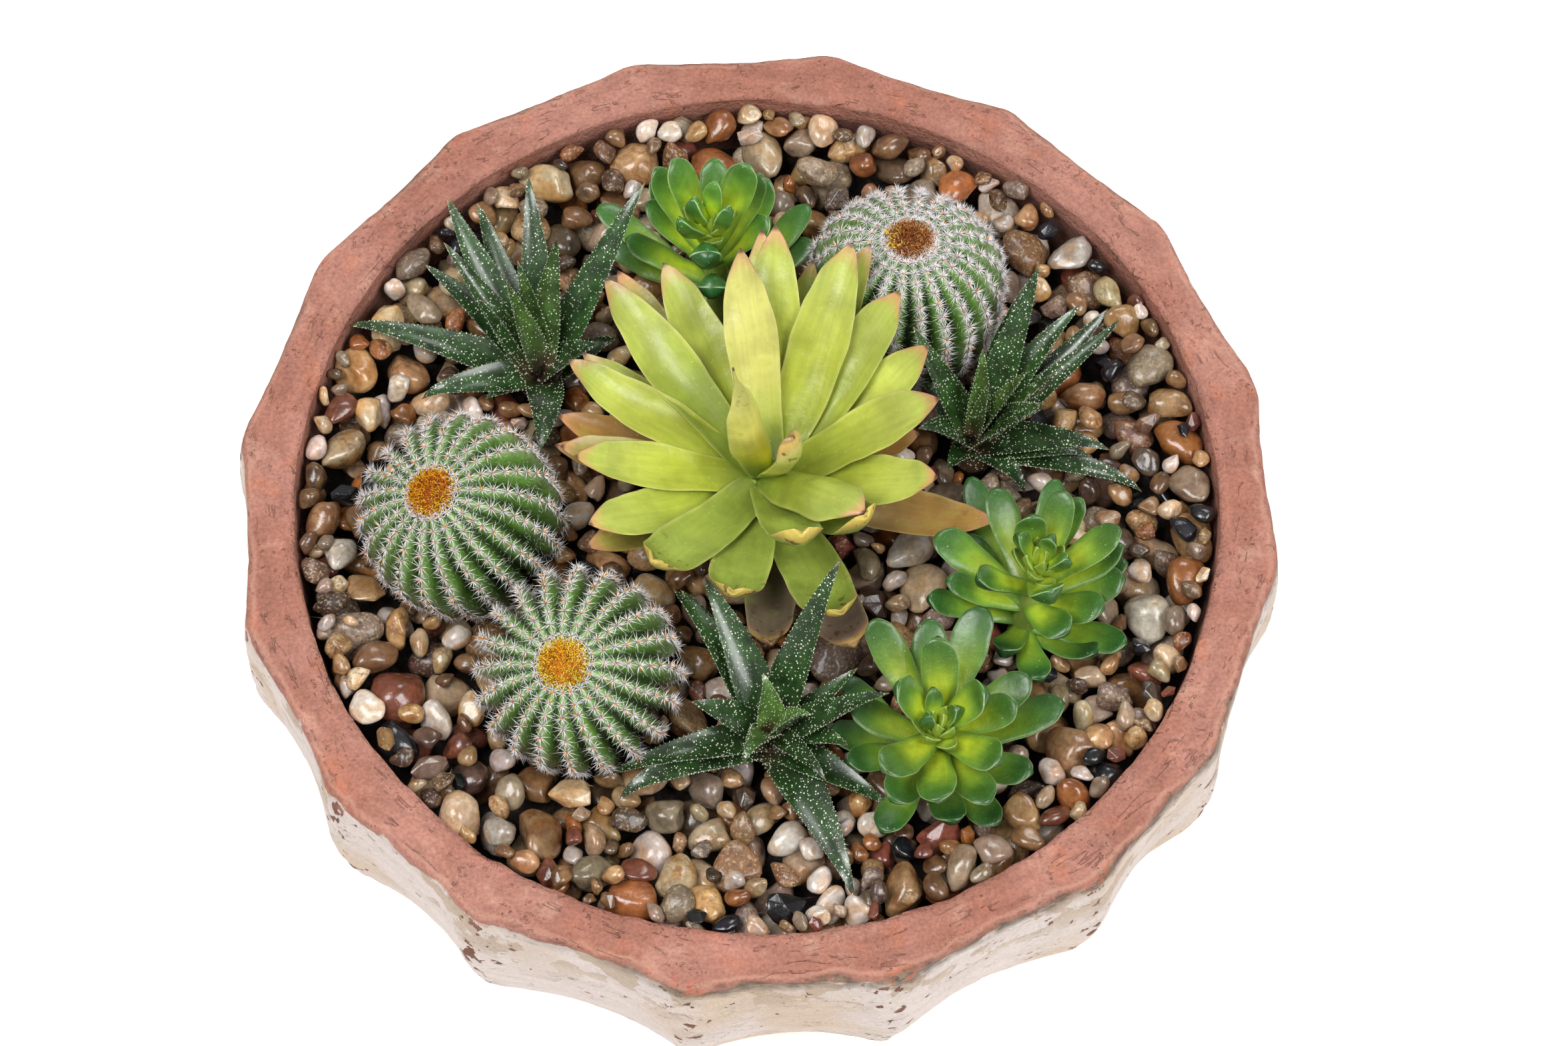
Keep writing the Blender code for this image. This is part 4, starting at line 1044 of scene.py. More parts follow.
def make_haworthias():
    skin, pearl = haworthia_material(), pearl_material()
    made = []
    for index, (name, plant) in enumerate(HAWORTHIAS.items()):
        rng = np.random.default_rng(HAWORTHIA_SEED + index)
        shells, pearls = Shells(), Shells()
        add_stem(shells, plant, HAWORTHIA_FOOT, across=0.0, along=0.0)
        for leaf in plant["leaves"]:
            _, reach, tip_height, root_height, width = leaf
            root, tip = leaf_ends(plant, leaf)
            flat = float(step(tip_height - root_height, 30, 8))
            roll, sway = rng.uniform(-16, 16), rng.uniform(-1, 1) * 0.09 * reach
            curl, arch = rng.uniform(-3, 2) - 2 * flat, rng.uniform(0, 6) * flat
            rings, t, u, up, values = leaf_rings(root, tip, width, HAWORTHIA_LEAF, curl, roll, sway, arch)
            inner = float(step(root_height, 107, 112))
            add_tube(shells, rings, haworthia_colours(t, u, up, inner) * rng.uniform(0.85, 1.15), **values)
            add_pearls(pearls, rings, rng, np.linalg.norm(tip - root), width)
        add_piece(name + "_leaves", shells, skin, name)
        add_piece(name + "_pearls", pearls, pearl, name)
        made.append(shells)
    return made


def haworthia_material():
    s = leaf_shader("spotted_leaf_skin", 0.3, coat=0.7, scatter=0.0)
    colour, _ = s.fibrous(s.mottle(s.tint(), 6, 4, 0.55, 1.4), 0.9, 0.06, 0.88, 1.12)
    dots = s.part(s.step(s.cells(1.25), 0.25, 0.17), s.patches(6, 3, 0.36, 0.5))
    colour = s.over(colour, PEARL, dots, 0.95)
    s.relief((s.noise(1.4, 3), 0.12), (dots, 0.08))
    return s.done(colour, s.scaled(s.noise(3, 3), 0.2, 0.24))


def pearl_material():
    s = Shader("pearl_dots", 0.6)
    colour = s.mottle(s.tint(), 1.5, 2, 0.85, 1.05)
    s.relief((s.noise(0.4, 2), 0.05))
    return s.done(colour)


def add_scales(shells, plant, rng):
    """Small fresh leaves, crowded around the crown of a sedum."""
    crown = np.array(plant["crown"], float)
    for number in range(HEART_SCALES):
        share = (number + 0.5) / HEART_SCALES
        azimuth = number * 137.5 + rng.uniform(-12, 12)
        root = crown + polar(1.5 * share, azimuth, -2 - 5 * share)
        tip = crown + polar(1.6 + 9.4 * share, azimuth, 10.0 - 5.0 * share)
        roll = rng.uniform(-15, 15)
        rings, t, u, up, values = leaf_rings(root, tip, 4.6 + 2.2 * share, SEDUM_SCALE, 0.8, roll)
        colour = blend(sedum_colours(t, u, up, 1.0), SEDUM_HEART, 0.75 - 0.35 * share)
        colour = blend(colour, SEDUM_EDGE, 0.6 * step(np.abs(u), 0.85, 1.0) * step(up, -0.6, 0.0))
        add_tube(shells, rings, colour, **values)


def make_sedums():
    material = sedum_material()
    made = []
    for index, (name, plant) in enumerate(SEDUMS.items()):
        rng = np.random.default_rng(SEDUM_SEED + index)
        shells = Shells()
        add_stem(shells, plant, SEDUM_STEM, across=0.0, along=0.0)
        add_scales(shells, plant, rng)
        crown = plant["crown"][2]
        for leaf in plant["leaves"]:
            azimuth, reach, tip_height, root_height, width = leaf
            root, tip = leaf_ends(plant, leaf)
            button = (azimuth, reach) in BUTTON_LEAVES
            kind = SEDUM_BUTTON if button else SEDUM_LEAF
            roll, sway, curl = rng.uniform(-16, 16), rng.uniform(-2, 2), rng.uniform(-1, 2)
            rings, t, u, up, values = leaf_rings(root, tip, width, kind, curl, roll, sway)
            young = 0.0 if button else float(step(root_height, crown - plant["fresh"], crown - 4))
            colour = sedum_colours(t, u, up, young) * rng.uniform(0.9, 1.08) * plant["light"]
            add_tube(shells, drift(rings, 9, 0.6, index + 5), colour, **values)
        add_piece(name + "_leaves", shells, material, name)
        made.append(shells)
    return made


def sedum_material():
    s = leaf_shader("finger_leaf_skin", 0.33, coat=0.18, scatter=0.07)
    colour, _ = s.fibrous(s.mottle(s.tint(), 5, 3, 0.84, 1.12), 1.3, 0.08, 0.94, 1.05)
    grains = s.step(s.cells(0.9), 0.28, 0.14)
    colour = s.over(colour, SEDUM_EDGE, grains, 0.08)
    specks = s.part(s.step(s.cells(2.3), 0.12, 0.06), s.patches(6, 2, 0.5, 0.6))
    colour = s.over(colour, SEDUM_EDGE, specks, 0.7)
    s.relief((s.noise(4, 2), 0.25), (grains, 0.05))
    return s.done(colour, s.scaled(s.noise(3, 2), 0.16, 0.25))


# Cacti
CREST_GREEN = (0.60, 0.66, 0.50)
FLANK_GREEN = (0.40, 0.56, 0.24)
# dark green painted into the rib valleys as shade, also used for the neck
PAINTED_SHADE_GREEN = (0.15, 0.24, 0.09)
HAIR_WHITE = (0.98, 0.97, 0.97)
HAIR_GREY = (0.86, 0.83, 0.84)
FLANK_HAIR = (0.72, 0.76, 0.62)
SPINE_ORANGE = (0.93, 0.58, 0.18)
CROWN_COLOURS = {
    "left": ((0.66, 0.32, 0.04), (0.92, 0.60, 0.06), (0.97, 0.80, 0.22)),
    "front": ((0.84, 0.48, 0.05), (0.95, 0.74, 0.14), (0.97, 0.88, 0.38)),
    "back": ((0.48, 0.26, 0.11), (0.70, 0.43, 0.19), (0.84, 0.66, 0.42)),
}
FLOWER_YELLOW = np.array((0.93, 0.80, 0.30))
FLOWER_SHREDS = 26
SHRED_RADIUS = 0.55


def cactus_matrix(cactus):
    lean_axis = Vector(polar(1, cactus["lean_to"] + 90))
    lean = Matrix.Rotation(math.radians(cactus["lean"]), 4, lean_axis)
    return np.array(Matrix.Translation(cactus["middle"]) @ lean)


def placed(points, matrix):
    return points @ matrix[:3, :3].T + matrix[:3, 3]


def add_cactus_spikes(shells, matrix, feet, ways, *looks):
    """Spikes with feet and ways in the cactus's own frame. looks are the rest that add_spikes takes."""
    add_spikes(shells, placed(feet, matrix), ways @ matrix[:3, :3].T, *looks)


def crest_outline(count):
    """Radii and heights of a rib's crest from the body's foot to its crown, evenly spaced."""
    heights, radii = np.transpose(CACTUS_PROFILE) * CACTUS_RADIUS
    path = np.concatenate(([0], np.cumsum(np.hypot(np.diff(heights), np.diff(radii)))))
    places = np.linspace(0, path[-1], count)
    return smooth_curve(places, path, radii), smooth_curve(places, path, heights), path[-1]


def make_cactus_body(side, cactus, material):
    ribs = cactus["ribs"]
    reach, height, length = crest_outline(BODY_ROWS)
    column = np.arange(ribs * RIB_COLUMNS)
    away = 1 - np.abs(2 * (column / RIB_COLUMNS % 1) - 1)
    blunt = RIB_BLUNTNESS
    tent = (np.sqrt(away**2 + blunt**2) - blunt) / (math.sqrt(1 + blunt**2) - blunt)
    fold = 0.7 * tent + 0.3 * (1 - np.cos(np.pi * away)) / 2
    beat = np.cos(2 * np.pi * np.linspace(0, length, BODY_ROWS) / AREOLE_SPACING)
    depth = RIB_DEPTH * reach / CACTUS_RADIUS
    radius = reach[:, None] - depth[:, None] * fold + 0.3 * beat[:, None] * (1 - away) ** 3
    local = polar(radius, 360 * column / len(column), height[:, None])
    matrix = cactus_matrix(cactus)
    points = placed(drift(local, *CACTUS_DRIFT, ribs), matrix)
    deep = np.broadcast_to(away, radius.shape)
    shells = Shells()
    # pale crests and green flanks, with the valleys darkened as painted shade
    add_tube(shells, points, layered(
        CREST_GREEN, (FLANK_GREEN, step(deep, 0.08, 0.35)), (PAINTED_SHADE_GREEN, step(deep, 0.45, 1.0))
    ))
    bottom = placed(np.array((0, 0, CACTUS_PROFILE[0][0] * CACTUS_RADIUS)), matrix)
    levels = (NECK_FOOT, (NECK_FOOT + cactus["middle"][2]) / 2)
    neck = [bottom * (1, 1, 0) + polar(CACTUS_NECK, STEM_ANGLES, level) for level in levels]
    add_tube(shells, np.array(neck), PAINTED_SHADE_GREEN)
    add_piece(f"barrel_cactus_{side}_body", shells, material, f"barrel_cactus_{side}")
    return shells


def areoles(cactus, matrix):
    """Feet of the tufts, their distance from the axis, and the ways along, across and out there.

    All are given in the cactus's own frame.
    """
    ribs = cactus["ribs"]
    _, _, length = crest_outline(2)
    count = int(length / AREOLE_SPACING)
    reach, height, _ = crest_outline(count)
    slope = unit(np.stack([np.gradient(reach), np.gradient(height)], axis=-1))
    angles = np.repeat(360 * np.arange(ribs) / ribs, count - 1)
    reach, height = np.tile(reach[1:], ribs), np.tile(height[1:], ribs)
    slope = np.tile(slope[1:], (ribs, 1))
    feet = drift(polar(reach, angles, height), *CACTUS_DRIFT, ribs)
    seen = placed(feet, matrix)[:, 2] > HAIRS_ABOVE
    feet, angles, reach, slope = feet[seen], angles[seen], reach[seen], slope[seen]
    radial, upward = polar(1.0, angles), np.array((0, 0, 1.0))
    normals = unit(radial * slope[:, 1:] - upward * slope[:, :1])
    along = unit(radial * slope[:, :1] + upward * slope[:, 1:])
    return feet, reach, along, np.cross(along, normals), normals


def make_cactus_hairs(side, cactus, rng, material):
    """Star tufts with orange spines along every crest, and fine hairs on the flanks."""
    matrix = cactus_matrix(cactus)
    feet, reach, along, across, normals = areoles(cactus, matrix)
    size = (0.78 + 0.22 * step(reach, 8, 22)) * rng.uniform(0.88, 1.1, len(feet))
    shells = Shells()
    spread, upright = cactus["tuft"]
    for hairs, low, high, share in ((spread, 4, 34, 1.0), (upright, 40, 82, 0.75)):
        turn = (np.arange(hairs) + rng.uniform(-0.35, 0.35, (len(feet), hairs))) * 2 * np.pi / hairs
        turn = turn + rng.uniform(0, 2 * np.pi, (len(feet), 1))
        lift = np.radians(rng.uniform(low, high, turn.shape))[..., None]
        flat = along[:, None] * np.cos(turn)[..., None] + across[:, None] * np.sin(turn)[..., None]
        ways = flat * np.cos(lift) + normals[:, None] * np.sin(lift)
        lengths = rng.uniform(*HAIR_LENGTH, turn.shape) * size[:, None] * share
        starts = np.broadcast_to(feet[:, None], ways.shape)
        colours = blend(HAIR_WHITE, HAIR_GREY, rng.random(turn.shape) ** 2)
        add_cactus_spikes(
            shells, matrix, starts.reshape(-1, 3), ways.reshape(-1, 3), lengths.ravel(), HAIR_RADIUS,
            colours.reshape(-1, 3), HAIR_WHITE,
        )
    for _ in range(AREOLE_SPINES):
        ways = normals + 0.7 * rng.normal(size=normals.shape)
        lengths = rng.uniform(1.6, 3.0, len(feet)) * size
        add_cactus_spikes(shells, matrix, feet, ways, lengths, SPINE_RADIUS, SPINE_ORANGE, SPINE_ORANGE)
    add_flank_hairs(shells, cactus["ribs"], rng, matrix)
    name = f"barrel_cactus_{side}"
    add_piece(name + "_spines", shells, material, name)


def add_flank_hairs(shells, ribs, rng, matrix):
    """Fine hairs that lie up the flanks between crest and valley."""
    rows = 200
    reach, height, _ = crest_outline(rows)
    row = rng.integers(40, rows - 8, FLANK_HAIRS)
    away = rng.uniform(0.1, 0.8, FLANK_HAIRS)
    way_round = rng.choice((-1, 1), FLANK_HAIRS)
    angles = 360 / ribs * (rng.integers(0, ribs, FLANK_HAIRS) + way_round * away / 2)
    radius = reach[row] - RIB_DEPTH * reach[row] / CACTUS_RADIUS * away
    feet = drift(polar(radius, angles, height[row]), *CACTUS_DRIFT, ribs)
    radial, round_way = polar(1.0, angles), polar(1.0, angles + 90) * way_round[:, None]
    upward = np.array((0, 0, 1.0))
    ways = radial * 0.6 + round_way * 0.6 + upward * rng.uniform(-0.5, 1.0, FLANK_HAIRS)[:, None]
    ways = ways + 0.35 * rng.normal(size=ways.shape)
    lengths = rng.uniform(1.2, 2.8, FLANK_HAIRS)
    add_cactus_spikes(shells, matrix, feet, ways, lengths, FLANK_HAIR_RADIUS, FLANK_HAIR, HAIR_WHITE)


def add_flower(shells, matrix, base, rng):
    """The dried remains of a yellow flower at one side of a crown."""
    angles = 185 + rng.normal(0, 24, FLOWER_SHREDS)
    feet = polar(CROWN_RADIUS * rng.uniform(0.45, 1.05, FLOWER_SHREDS), angles, base + CROWN_HEIGHT * 0.6)
    ways = polar(0.3, angles, 0.5) + 0.5 * rng.normal(size=feet.shape)
    lengths = rng.uniform(1.2, 2.8, FLOWER_SHREDS)
    colours = FLOWER_YELLOW * rng.uniform(0.75, 1.05, (FLOWER_SHREDS, 1))
    add_cactus_spikes(shells, matrix, feet, ways, lengths, SHRED_RADIUS, colours, colours)


def make_crown(side, cactus, rng, material):
    """A dome of short upright grains of mixed colours, with white hairs leaning over its border."""
    matrix = cactus_matrix(cactus)
    inner, middle, outer = (np.array(colour) for colour in CROWN_COLOURS[side])
    base = CACTUS_PROFILE[-1][0] * CACTUS_RADIUS
    rise, share = np.transpose(CROWN_DOME)
    levels = base + CROWN_HEIGHT * rise[:, None] * 0.8
    rings = polar(CROWN_RADIUS * share[:, None], np.arange(28) * 360 / 28, levels)
    shells = Shells()
    add_tube(shells, placed(drift(rings, 2.2, 0.5, 3), matrix), inner * 0.8)
    order = np.arange(CROWN_NEEDLES)
    away = np.sqrt((order + 0.5) / CROWN_NEEDLES)
    angles = order * 137.508 + rng.normal(0, 5, CROWN_NEEDLES)
    dome = smooth_curve(away, share[:0:-1], rise[:0:-1]) * CROWN_HEIGHT * 0.8
    feet = polar(CROWN_RADIUS * away, angles, base + dome - 0.3)
    ways = polar(0.8 * away**2, angles, 0.8) + 0.65 * rng.normal(size=feet.shape)
    lengths = rng.uniform(1.0, 2.6, CROWN_NEEDLES)
    rank = np.clip(away * 0.6 + rng.normal(0.1, 0.34, CROWN_NEEDLES), 0, 1)
    colours = blend(blend(inner, middle, step(rank, 0.1, 0.5)), outer, step(rank, 0.55, 0.95))
    add_cactus_spikes(shells, matrix, feet, ways, lengths, NEEDLE_RADIUS, colours * 0.7, colours * 1.15)
    if side == "back":
        add_flower(shells, matrix, base, rng)
    angles = rng.uniform(0, 360, CROWN_FRINGE)
    feet = polar(CROWN_RADIUS * rng.uniform(0.92, 1.12, CROWN_FRINGE), angles, base)
    ways = polar(rng.uniform(-1.3, 0.5, CROWN_FRINGE), angles, 1.0) + 0.4 * rng.normal(size=feet.shape)
    lengths = rng.uniform(2.2, 3.8, CROWN_FRINGE)
    add_cactus_spikes(shells, matrix, feet, ways, lengths, HAIR_RADIUS, HAIR_GREY, HAIR_WHITE)
    add_piece(f"wool_crown_{side}_needles", shells, material, f"wool_crown_{side}")


def cactus_material():
    s = Shader("cactus_skin_green", 0.35, {"Coat Weight": 0.2, "Coat Roughness": 0.25})
    colour = s.mottle(s.tint(), 9, 4, 0.82, 1.18)
    colour = s.mottle(colour, 1.2, 3, 0.88, 1.12)
    scales = s.step(s.cells(0.8), 0.3, 0.14)
    colour = s.over(colour, CREST_GREEN, scales, 0.2)
    s.relief((s.noise(2.2, 2), 0.35), (scales, 0.06))
    return s.done(colour, s.scaled(s.noise(3, 2), 0.2, 0.25))


def hair_material(name):
    s = Shader(name, 0.6, {"Specular IOR Level": 0.25})
    return s.done(s.mottle(s.tint(), 3, 2, 0.88, 1.1))


def make_cacti():
    skin, hair, wool = cactus_material(), hair_material("white_hair"), hair_material("crown_wool")
    made = []
    for index, (side, cactus) in enumerate(CACTI.items()):
        rng = np.random.default_rng(CACTUS_SEED + index)
        made.append(make_cactus_body(side, cactus, skin))
        make_cactus_hairs(side, cactus, rng, hair)
        make_crown(side, cactus, rng, wool)
    return made


# Pebbles: colour, colour of their patches, and how often they come, are veined, speckled and angular
PEBBLE_LOOKS = (
    ((0.76, 0.60, 0.41), (0.62, 0.42, 0.24), 0.17, 0.5, 0.2, 0.05),
    ((0.83, 0.72, 0.58), (0.78, 0.58, 0.36), 0.15, 0.4, 0.1, 0.05),
    ((0.89, 0.83, 0.78), (0.82, 0.66, 0.52), 0.12, 0.3, 0.0, 0.05),
    ((0.57, 0.42, 0.28), (0.38, 0.26, 0.17), 0.15, 0.5, 0.3, 0.1),
    ((0.69, 0.43, 0.23), (0.52, 0.28, 0.14), 0.06, 0.5, 0.1, 0.05),
    ((0.68, 0.59, 0.49), (0.54, 0.44, 0.35), 0.10, 0.2, 0.3, 0.05),
    ((0.42, 0.32, 0.25), (0.28, 0.21, 0.17), 0.09, 0.2, 0.3, 0.2),
    ((0.10, 0.10, 0.11), (0.17, 0.16, 0.18), 0.07, 0.05, 0.0, 0.35),
    ((0.53, 0.30, 0.23), (0.38, 0.19, 0.15), 0.05, 0.4, 0.1, 0.3),
    ((0.52, 0.42, 0.37), (0.60, 0.50, 0.42), 0.04, 0.1, 1.0, 0.3),
)
ROCK_KINDS = 14                 # different angular stones
PEBBLE_GROUPS = 4
BURIED = 0.03                   # share of a pebble that shows where it is left out, and made coarse
HALF_COVERED = 0.3
VEIN_BROWN = (0.42, 0.24, 0.12)
VEIN_CREAM = (0.86, 0.78, 0.64)
SPECK_DARK = (0.16, 0.11, 0.09)


def icosahedron_faces():
    """The twenty faces of a unit icosahedron, each by its three corners counterclockwise."""
    golden = (1 + math.sqrt(5)) / 2
    corners = []
    for a in (-1, 1):
        for b in (-golden, golden):
            corners += [(0, a, b), (a, b, 0), (b, 0, a)]
    corners = unit(np.array(corners))
    side = min(np.linalg.norm(corners[0] - other) for other in corners[1:]) * 1.01
    faces = []
    for a, b, c in itertools.combinations(corners, 3):
        if max(np.linalg.norm(a - b), np.linalg.norm(b - c), np.linalg.norm(c - a)) > side:
            continue
        if np.dot(np.cross(b - a, c - a), a) < 0:
            b, c = c, b
        faces.append((a, b, c))
    return faces


def geodesic(frequency):
    """Points and triangles of a round ball, from an icosahedron with its edges split evenly."""
    number, points, triangles = {}, [], []

    def index(face, x, y):
        a, b, c = face
        point = unit(a + (b - a) * x / frequency + (c - a) * y / frequency)
        key = tuple(np.round(point, 5) + 0.0)
        if key not in number:
            number[key] = len(points)
            points.append(point)
        return number[key]

    for face in icosahedron_faces():
        for x in range(frequency):
            for y in range(frequency - x):
                triangles.append((index(face, x, y), index(face, x + 1, y), index(face, x, y + 1)))
                if x + y < frequency - 1:
                    far = index(face, x + 1, y), index(face, x + 1, y + 1), index(face, x, y + 1)
                    triangles.append(far)
    return np.array(points), np.array(triangles)


def ceiling_map(plants):
    """How high a pebble may reach in each cell before it meets a plant."""
    ceiling = np.full((MAP_CELLS, MAP_CELLS), FULL)
    for shells in plants:
        points = np.concatenate(shells.points)
        points = points[(points[:, 2] < PEBBLE_WALL_LIMIT + 8) & (points[:, 2] > SOIL_TOP - 3)]
        places = np.clip(((points[:, :2] + MAP_HALF) / CELL).astype(int), 0, MAP_CELLS - 1)
        np.minimum.at(ceiling, (places[:, 0], places[:, 1]), points[:, 2])
    near = ceiling.copy()
    for shift in itertools.product((-1, 0, 1), repeat=2):
        near = np.minimum(near, np.roll(ceiling, shift, axis=(0, 1)))
    return near


def ground_map():
    """Height of the soil in each cell, with the wall and the stems standing up from it."""
    middle = (np.arange(MAP_CELLS) + 0.5) * CELL - MAP_HALF
    x, y = np.meshgrid(middle, middle, indexing="ij")
    ground = SOIL_TOP + 0.8 * lumps(np.stack([x, y, 0 * x], axis=-1), 14, 2)
    away = np.hypot(x, y)
    heights, steps = np.transpose(INNER_PROFILE)
    ground = np.maximum(ground, np.interp(away + 0.8, INNER_RADIUS + steps, heights))
    ground[away > INNER_RADIUS - 1.8] = FULL
    leafy = (ROSETTE, *HAWORTHIAS.values(), *SEDUMS.values())
    stems = [(plant["foot"][:2], plant["neck"]) for plant in leafy]
    stems += [(placed(CACTUS_FOOT, cactus_matrix(cactus))[:2], CACTUS_NECK) for cactus in CACTI.values()]
    for (stem_x, stem_y), radius in stems:
        ground[np.hypot(x - stem_x, y - stem_y) < radius + 0.5] = FULL
    return ground


def pebble_turn(rng):
    """A pebble's way to lie: any way round, and tilted a little from flat."""
    yaw = Matrix.Rotation(rng.uniform(0, 2 * math.pi), 3, "Z")
    pitch = Matrix.Rotation(rng.normal(0, PEBBLE_TILT), 3, "Y")
    return np.array(yaw @ pitch @ Matrix.Rotation(rng.normal(0, PEBBLE_TILT), 3, "X"))


def footprint(turn, half):
    """Offsets in plan and the lower and upper heights of a turned ellipsoid, cell by cell."""
    shape = turn @ np.diag(half**-2.0) @ turn.T
    extent = int(math.ceil(max(half) / CELL))
    offsets = np.arange(-extent, extent + 1) * CELL
    x, y = np.meshgrid(offsets, offsets, indexing="ij")
    b = shape[0, 2] * x + shape[1, 2] * y
    c = shape[0, 0] * x * x + 2 * shape[0, 1] * x * y + shape[1, 1] * y * y - 1
    inside = b * b - shape[2, 2] * c
    root = np.sqrt(np.maximum(inside, 0)) / shape[2, 2]
    middle = -b / shape[2, 2]
    low = np.where(inside > 0, middle - root, 1e6)
    high = np.where(inside > 0, middle + root, -1e6)
    return extent, low, high


def drop_pebble(ground, ceiling, half, nearest, rng):
    """Drops a pebble of given half lengths, and tells where it lies, or None if it fits nowhere.

    It tells the middle, the turn, the cells under the pebble and how high it reaches in each.
    """
    turn = pebble_turn(rng)
    extent, low, high = footprint(turn, half)
    best, window = None, None
    for _ in range(PEBBLE_TRIES):
        away, angle = math.sqrt(rng.uniform(nearest**2, INNER_RADIUS**2)), rng.uniform(0, 2 * math.pi)
        i = int((away * math.cos(angle) + MAP_HALF) / CELL)
        j = int((away * math.sin(angle) + MAP_HALF) / CELL)
        place = np.s_[max(i - extent, 0):i + extent + 1, max(j - extent, 0):j + extent + 1]
        if ground[place].shape != low.shape:
            continue
        height = np.max(ground[place] - low)
        limit = PEBBLE_TOP_LIMIT + (PEBBLE_WALL_LIMIT - PEBBLE_TOP_LIMIT) * step(away, *BESIDE_WALL)
        if height + np.max(high) > limit or np.min(ceiling[place] - high) < height:
            continue
        if best is None or height < best[2]:
            best, window = ((i + 0.5) * CELL - MAP_HALF, (j + 0.5) * CELL - MAP_HALF, height), place
    if best is None:
        return None
    top = best[2] + high
    ground[window] = np.maximum(ground[window], top)
    return np.array(best), turn, window, top


def rock_shape(rng):
    """Points and triangles of a unit stone with flat facets and broken edges."""
    stone = bmesh.new()
    for point in unit(rng.normal(size=(24, 3))) * rng.uniform(0.8, 1.05, (24, 1)):
        stone.verts.new(point)
    hull = bmesh.ops.convex_hull(stone, input=stone.verts[:])
    inside = [item for item in hull["geom_interior"] if isinstance(item, bmesh.types.BMVert)]
    bmesh.ops.delete(stone, geom=inside, context="VERTS")
    bmesh.ops.bevel(stone, geom=stone.edges[:], offset=0.05, segments=1, profile=0.5, affect="EDGES")
    bmesh.ops.triangulate(stone, faces=stone.faces[:])
    stone.verts.index_update()
    points = drift(np.array([vertex.co[:] for vertex in stone.verts]), 0.8, 0.1, int(rng.integers(99)))
    triangles = np.array([[vertex.index for vertex in face.verts] for face in stone.faces])
    stone.free()
    return points, triangles


def settle_pebbles(plants, rng):
    """Drops pebbles one by one, the large ones first, each into the lowest of a few places.

    It gives those that show, and the share of each that no other pebble covers.
    """
    ground, ceiling = ground_map(), ceiling_map(plants)
    settled = []
    for count, size, nearest in PEBBLE_STAGES:
        for _ in range(count):
            length = size * float(np.clip(rng.lognormal(0, PEBBLE_SPREAD), *PEBBLE_EXTREMES))
            half = length * np.array((1, rng.uniform(*PEBBLE_WIDTHS), rng.uniform(*PEBBLE_HEIGHTS)))
            dropped = drop_pebble(ground, ceiling, half, nearest, rng)
            if dropped is not None:
                settled.append((*dropped, half))
    kept = []
    for centre, turn, window, top, half in settled:
        inside = top > 0
        bare = np.mean(ground[window][inside] < top[inside] + 0.3)
        if bare > BURIED:
            kept.append((centre, turn, half, bare))
    return kept


def pebble_shape(ball, rng):
    """The unit ball worn into a pebble: flattened on random sides, tapered, bent and a little lumpy."""
    points = ball.copy()
    for _ in range(4):
        way = unit(rng.normal(size=3))
        over = np.maximum(points @ way - rng.uniform(0.6, 0.9), 0)
        points = points - (over * 0.75)[:, None] * way
    points[:, 1:] *= (1 - rng.uniform(0, 0.32) * points[:, :1])
    points[:, 1] -= rng.uniform(-0.3, 0.3) * (1 - points[:, 0] ** 2)
    seed = int(rng.integers(1000))
    return drift(drift(points, 1.1, 0.16, seed), 0.42, rng.uniform(0.01, 0.06), seed)


def pebble_colours(points, colour, patch, rng):
    """Colours of a pebble's points, with blotches in the colour of its patches."""
    seed = int(rng.integers(1000))
    blotch = lumps(points, 0.8, seed) + 0.3 * lumps(points, 0.3, seed)
    patches = rng.uniform(0.3, 1) * step(blotch, -0.1, 0.2)
    colours = blend(colour, patch, patches) * rng.uniform(0.73, 1.01) + rng.normal(0, 0.008, 3)
    return np.clip(colours, 0.03, 0.95)


def make_pebbles(plants):
    rng = np.random.default_rng(PEBBLE_SEED)
    balls = [geodesic(frequency) for frequency in BALL_FREQUENCIES]
    rocks = [rock_shape(rng) for _ in range(ROCK_KINDS)]
    often = np.array([look[2] for look in PEBBLE_LOOKS])
    round_ones, angular_ones = [Shells() for _ in range(PEBBLE_GROUPS)], Shells()
    for number, (centre, turn, half, bare) in enumerate(settle_pebbles(plants, rng)):
        chosen = rng.choice(len(PEBBLE_LOOKS), p=often / often.sum())
        colour, patch, _, veined, speckled, angular = PEBBLE_LOOKS[chosen]
        if rng.random() < angular:
            ball, triangles = rocks[rng.integers(ROCK_KINDS)]
            shells, points = angular_ones, ball @ np.array(Matrix.Rotation(rng.uniform(0, 6.3), 3, "X"))
        else:
            ball, triangles = balls[int(bare > HALF_COVERED) * (1 + int(half[0] > LARGE_PEBBLE))]
            shells, points = round_ones[number % PEBBLE_GROUPS], pebble_shape(ball, rng)
        colours = pebble_colours(points, colour, patch, rng)
        speckles = float(rng.random() < speckled) * rng.uniform(0.5, 1)
        shells.add(
            points * half @ turn.T + centre, colours, triangles=triangles,
            shift=rng.uniform(0, 40), veins=veined * rng.random(), speckles=speckles,
        )
    material = pebble_material()
    for number, shells in enumerate(round_ones):
        add_piece(f"river_pebbles_{number + 1}", shells, material, "pebble_layer")
    angular = add_piece("river_rocks", angular_ones, material, "pebble_layer")
    angular.data.shade_flat()


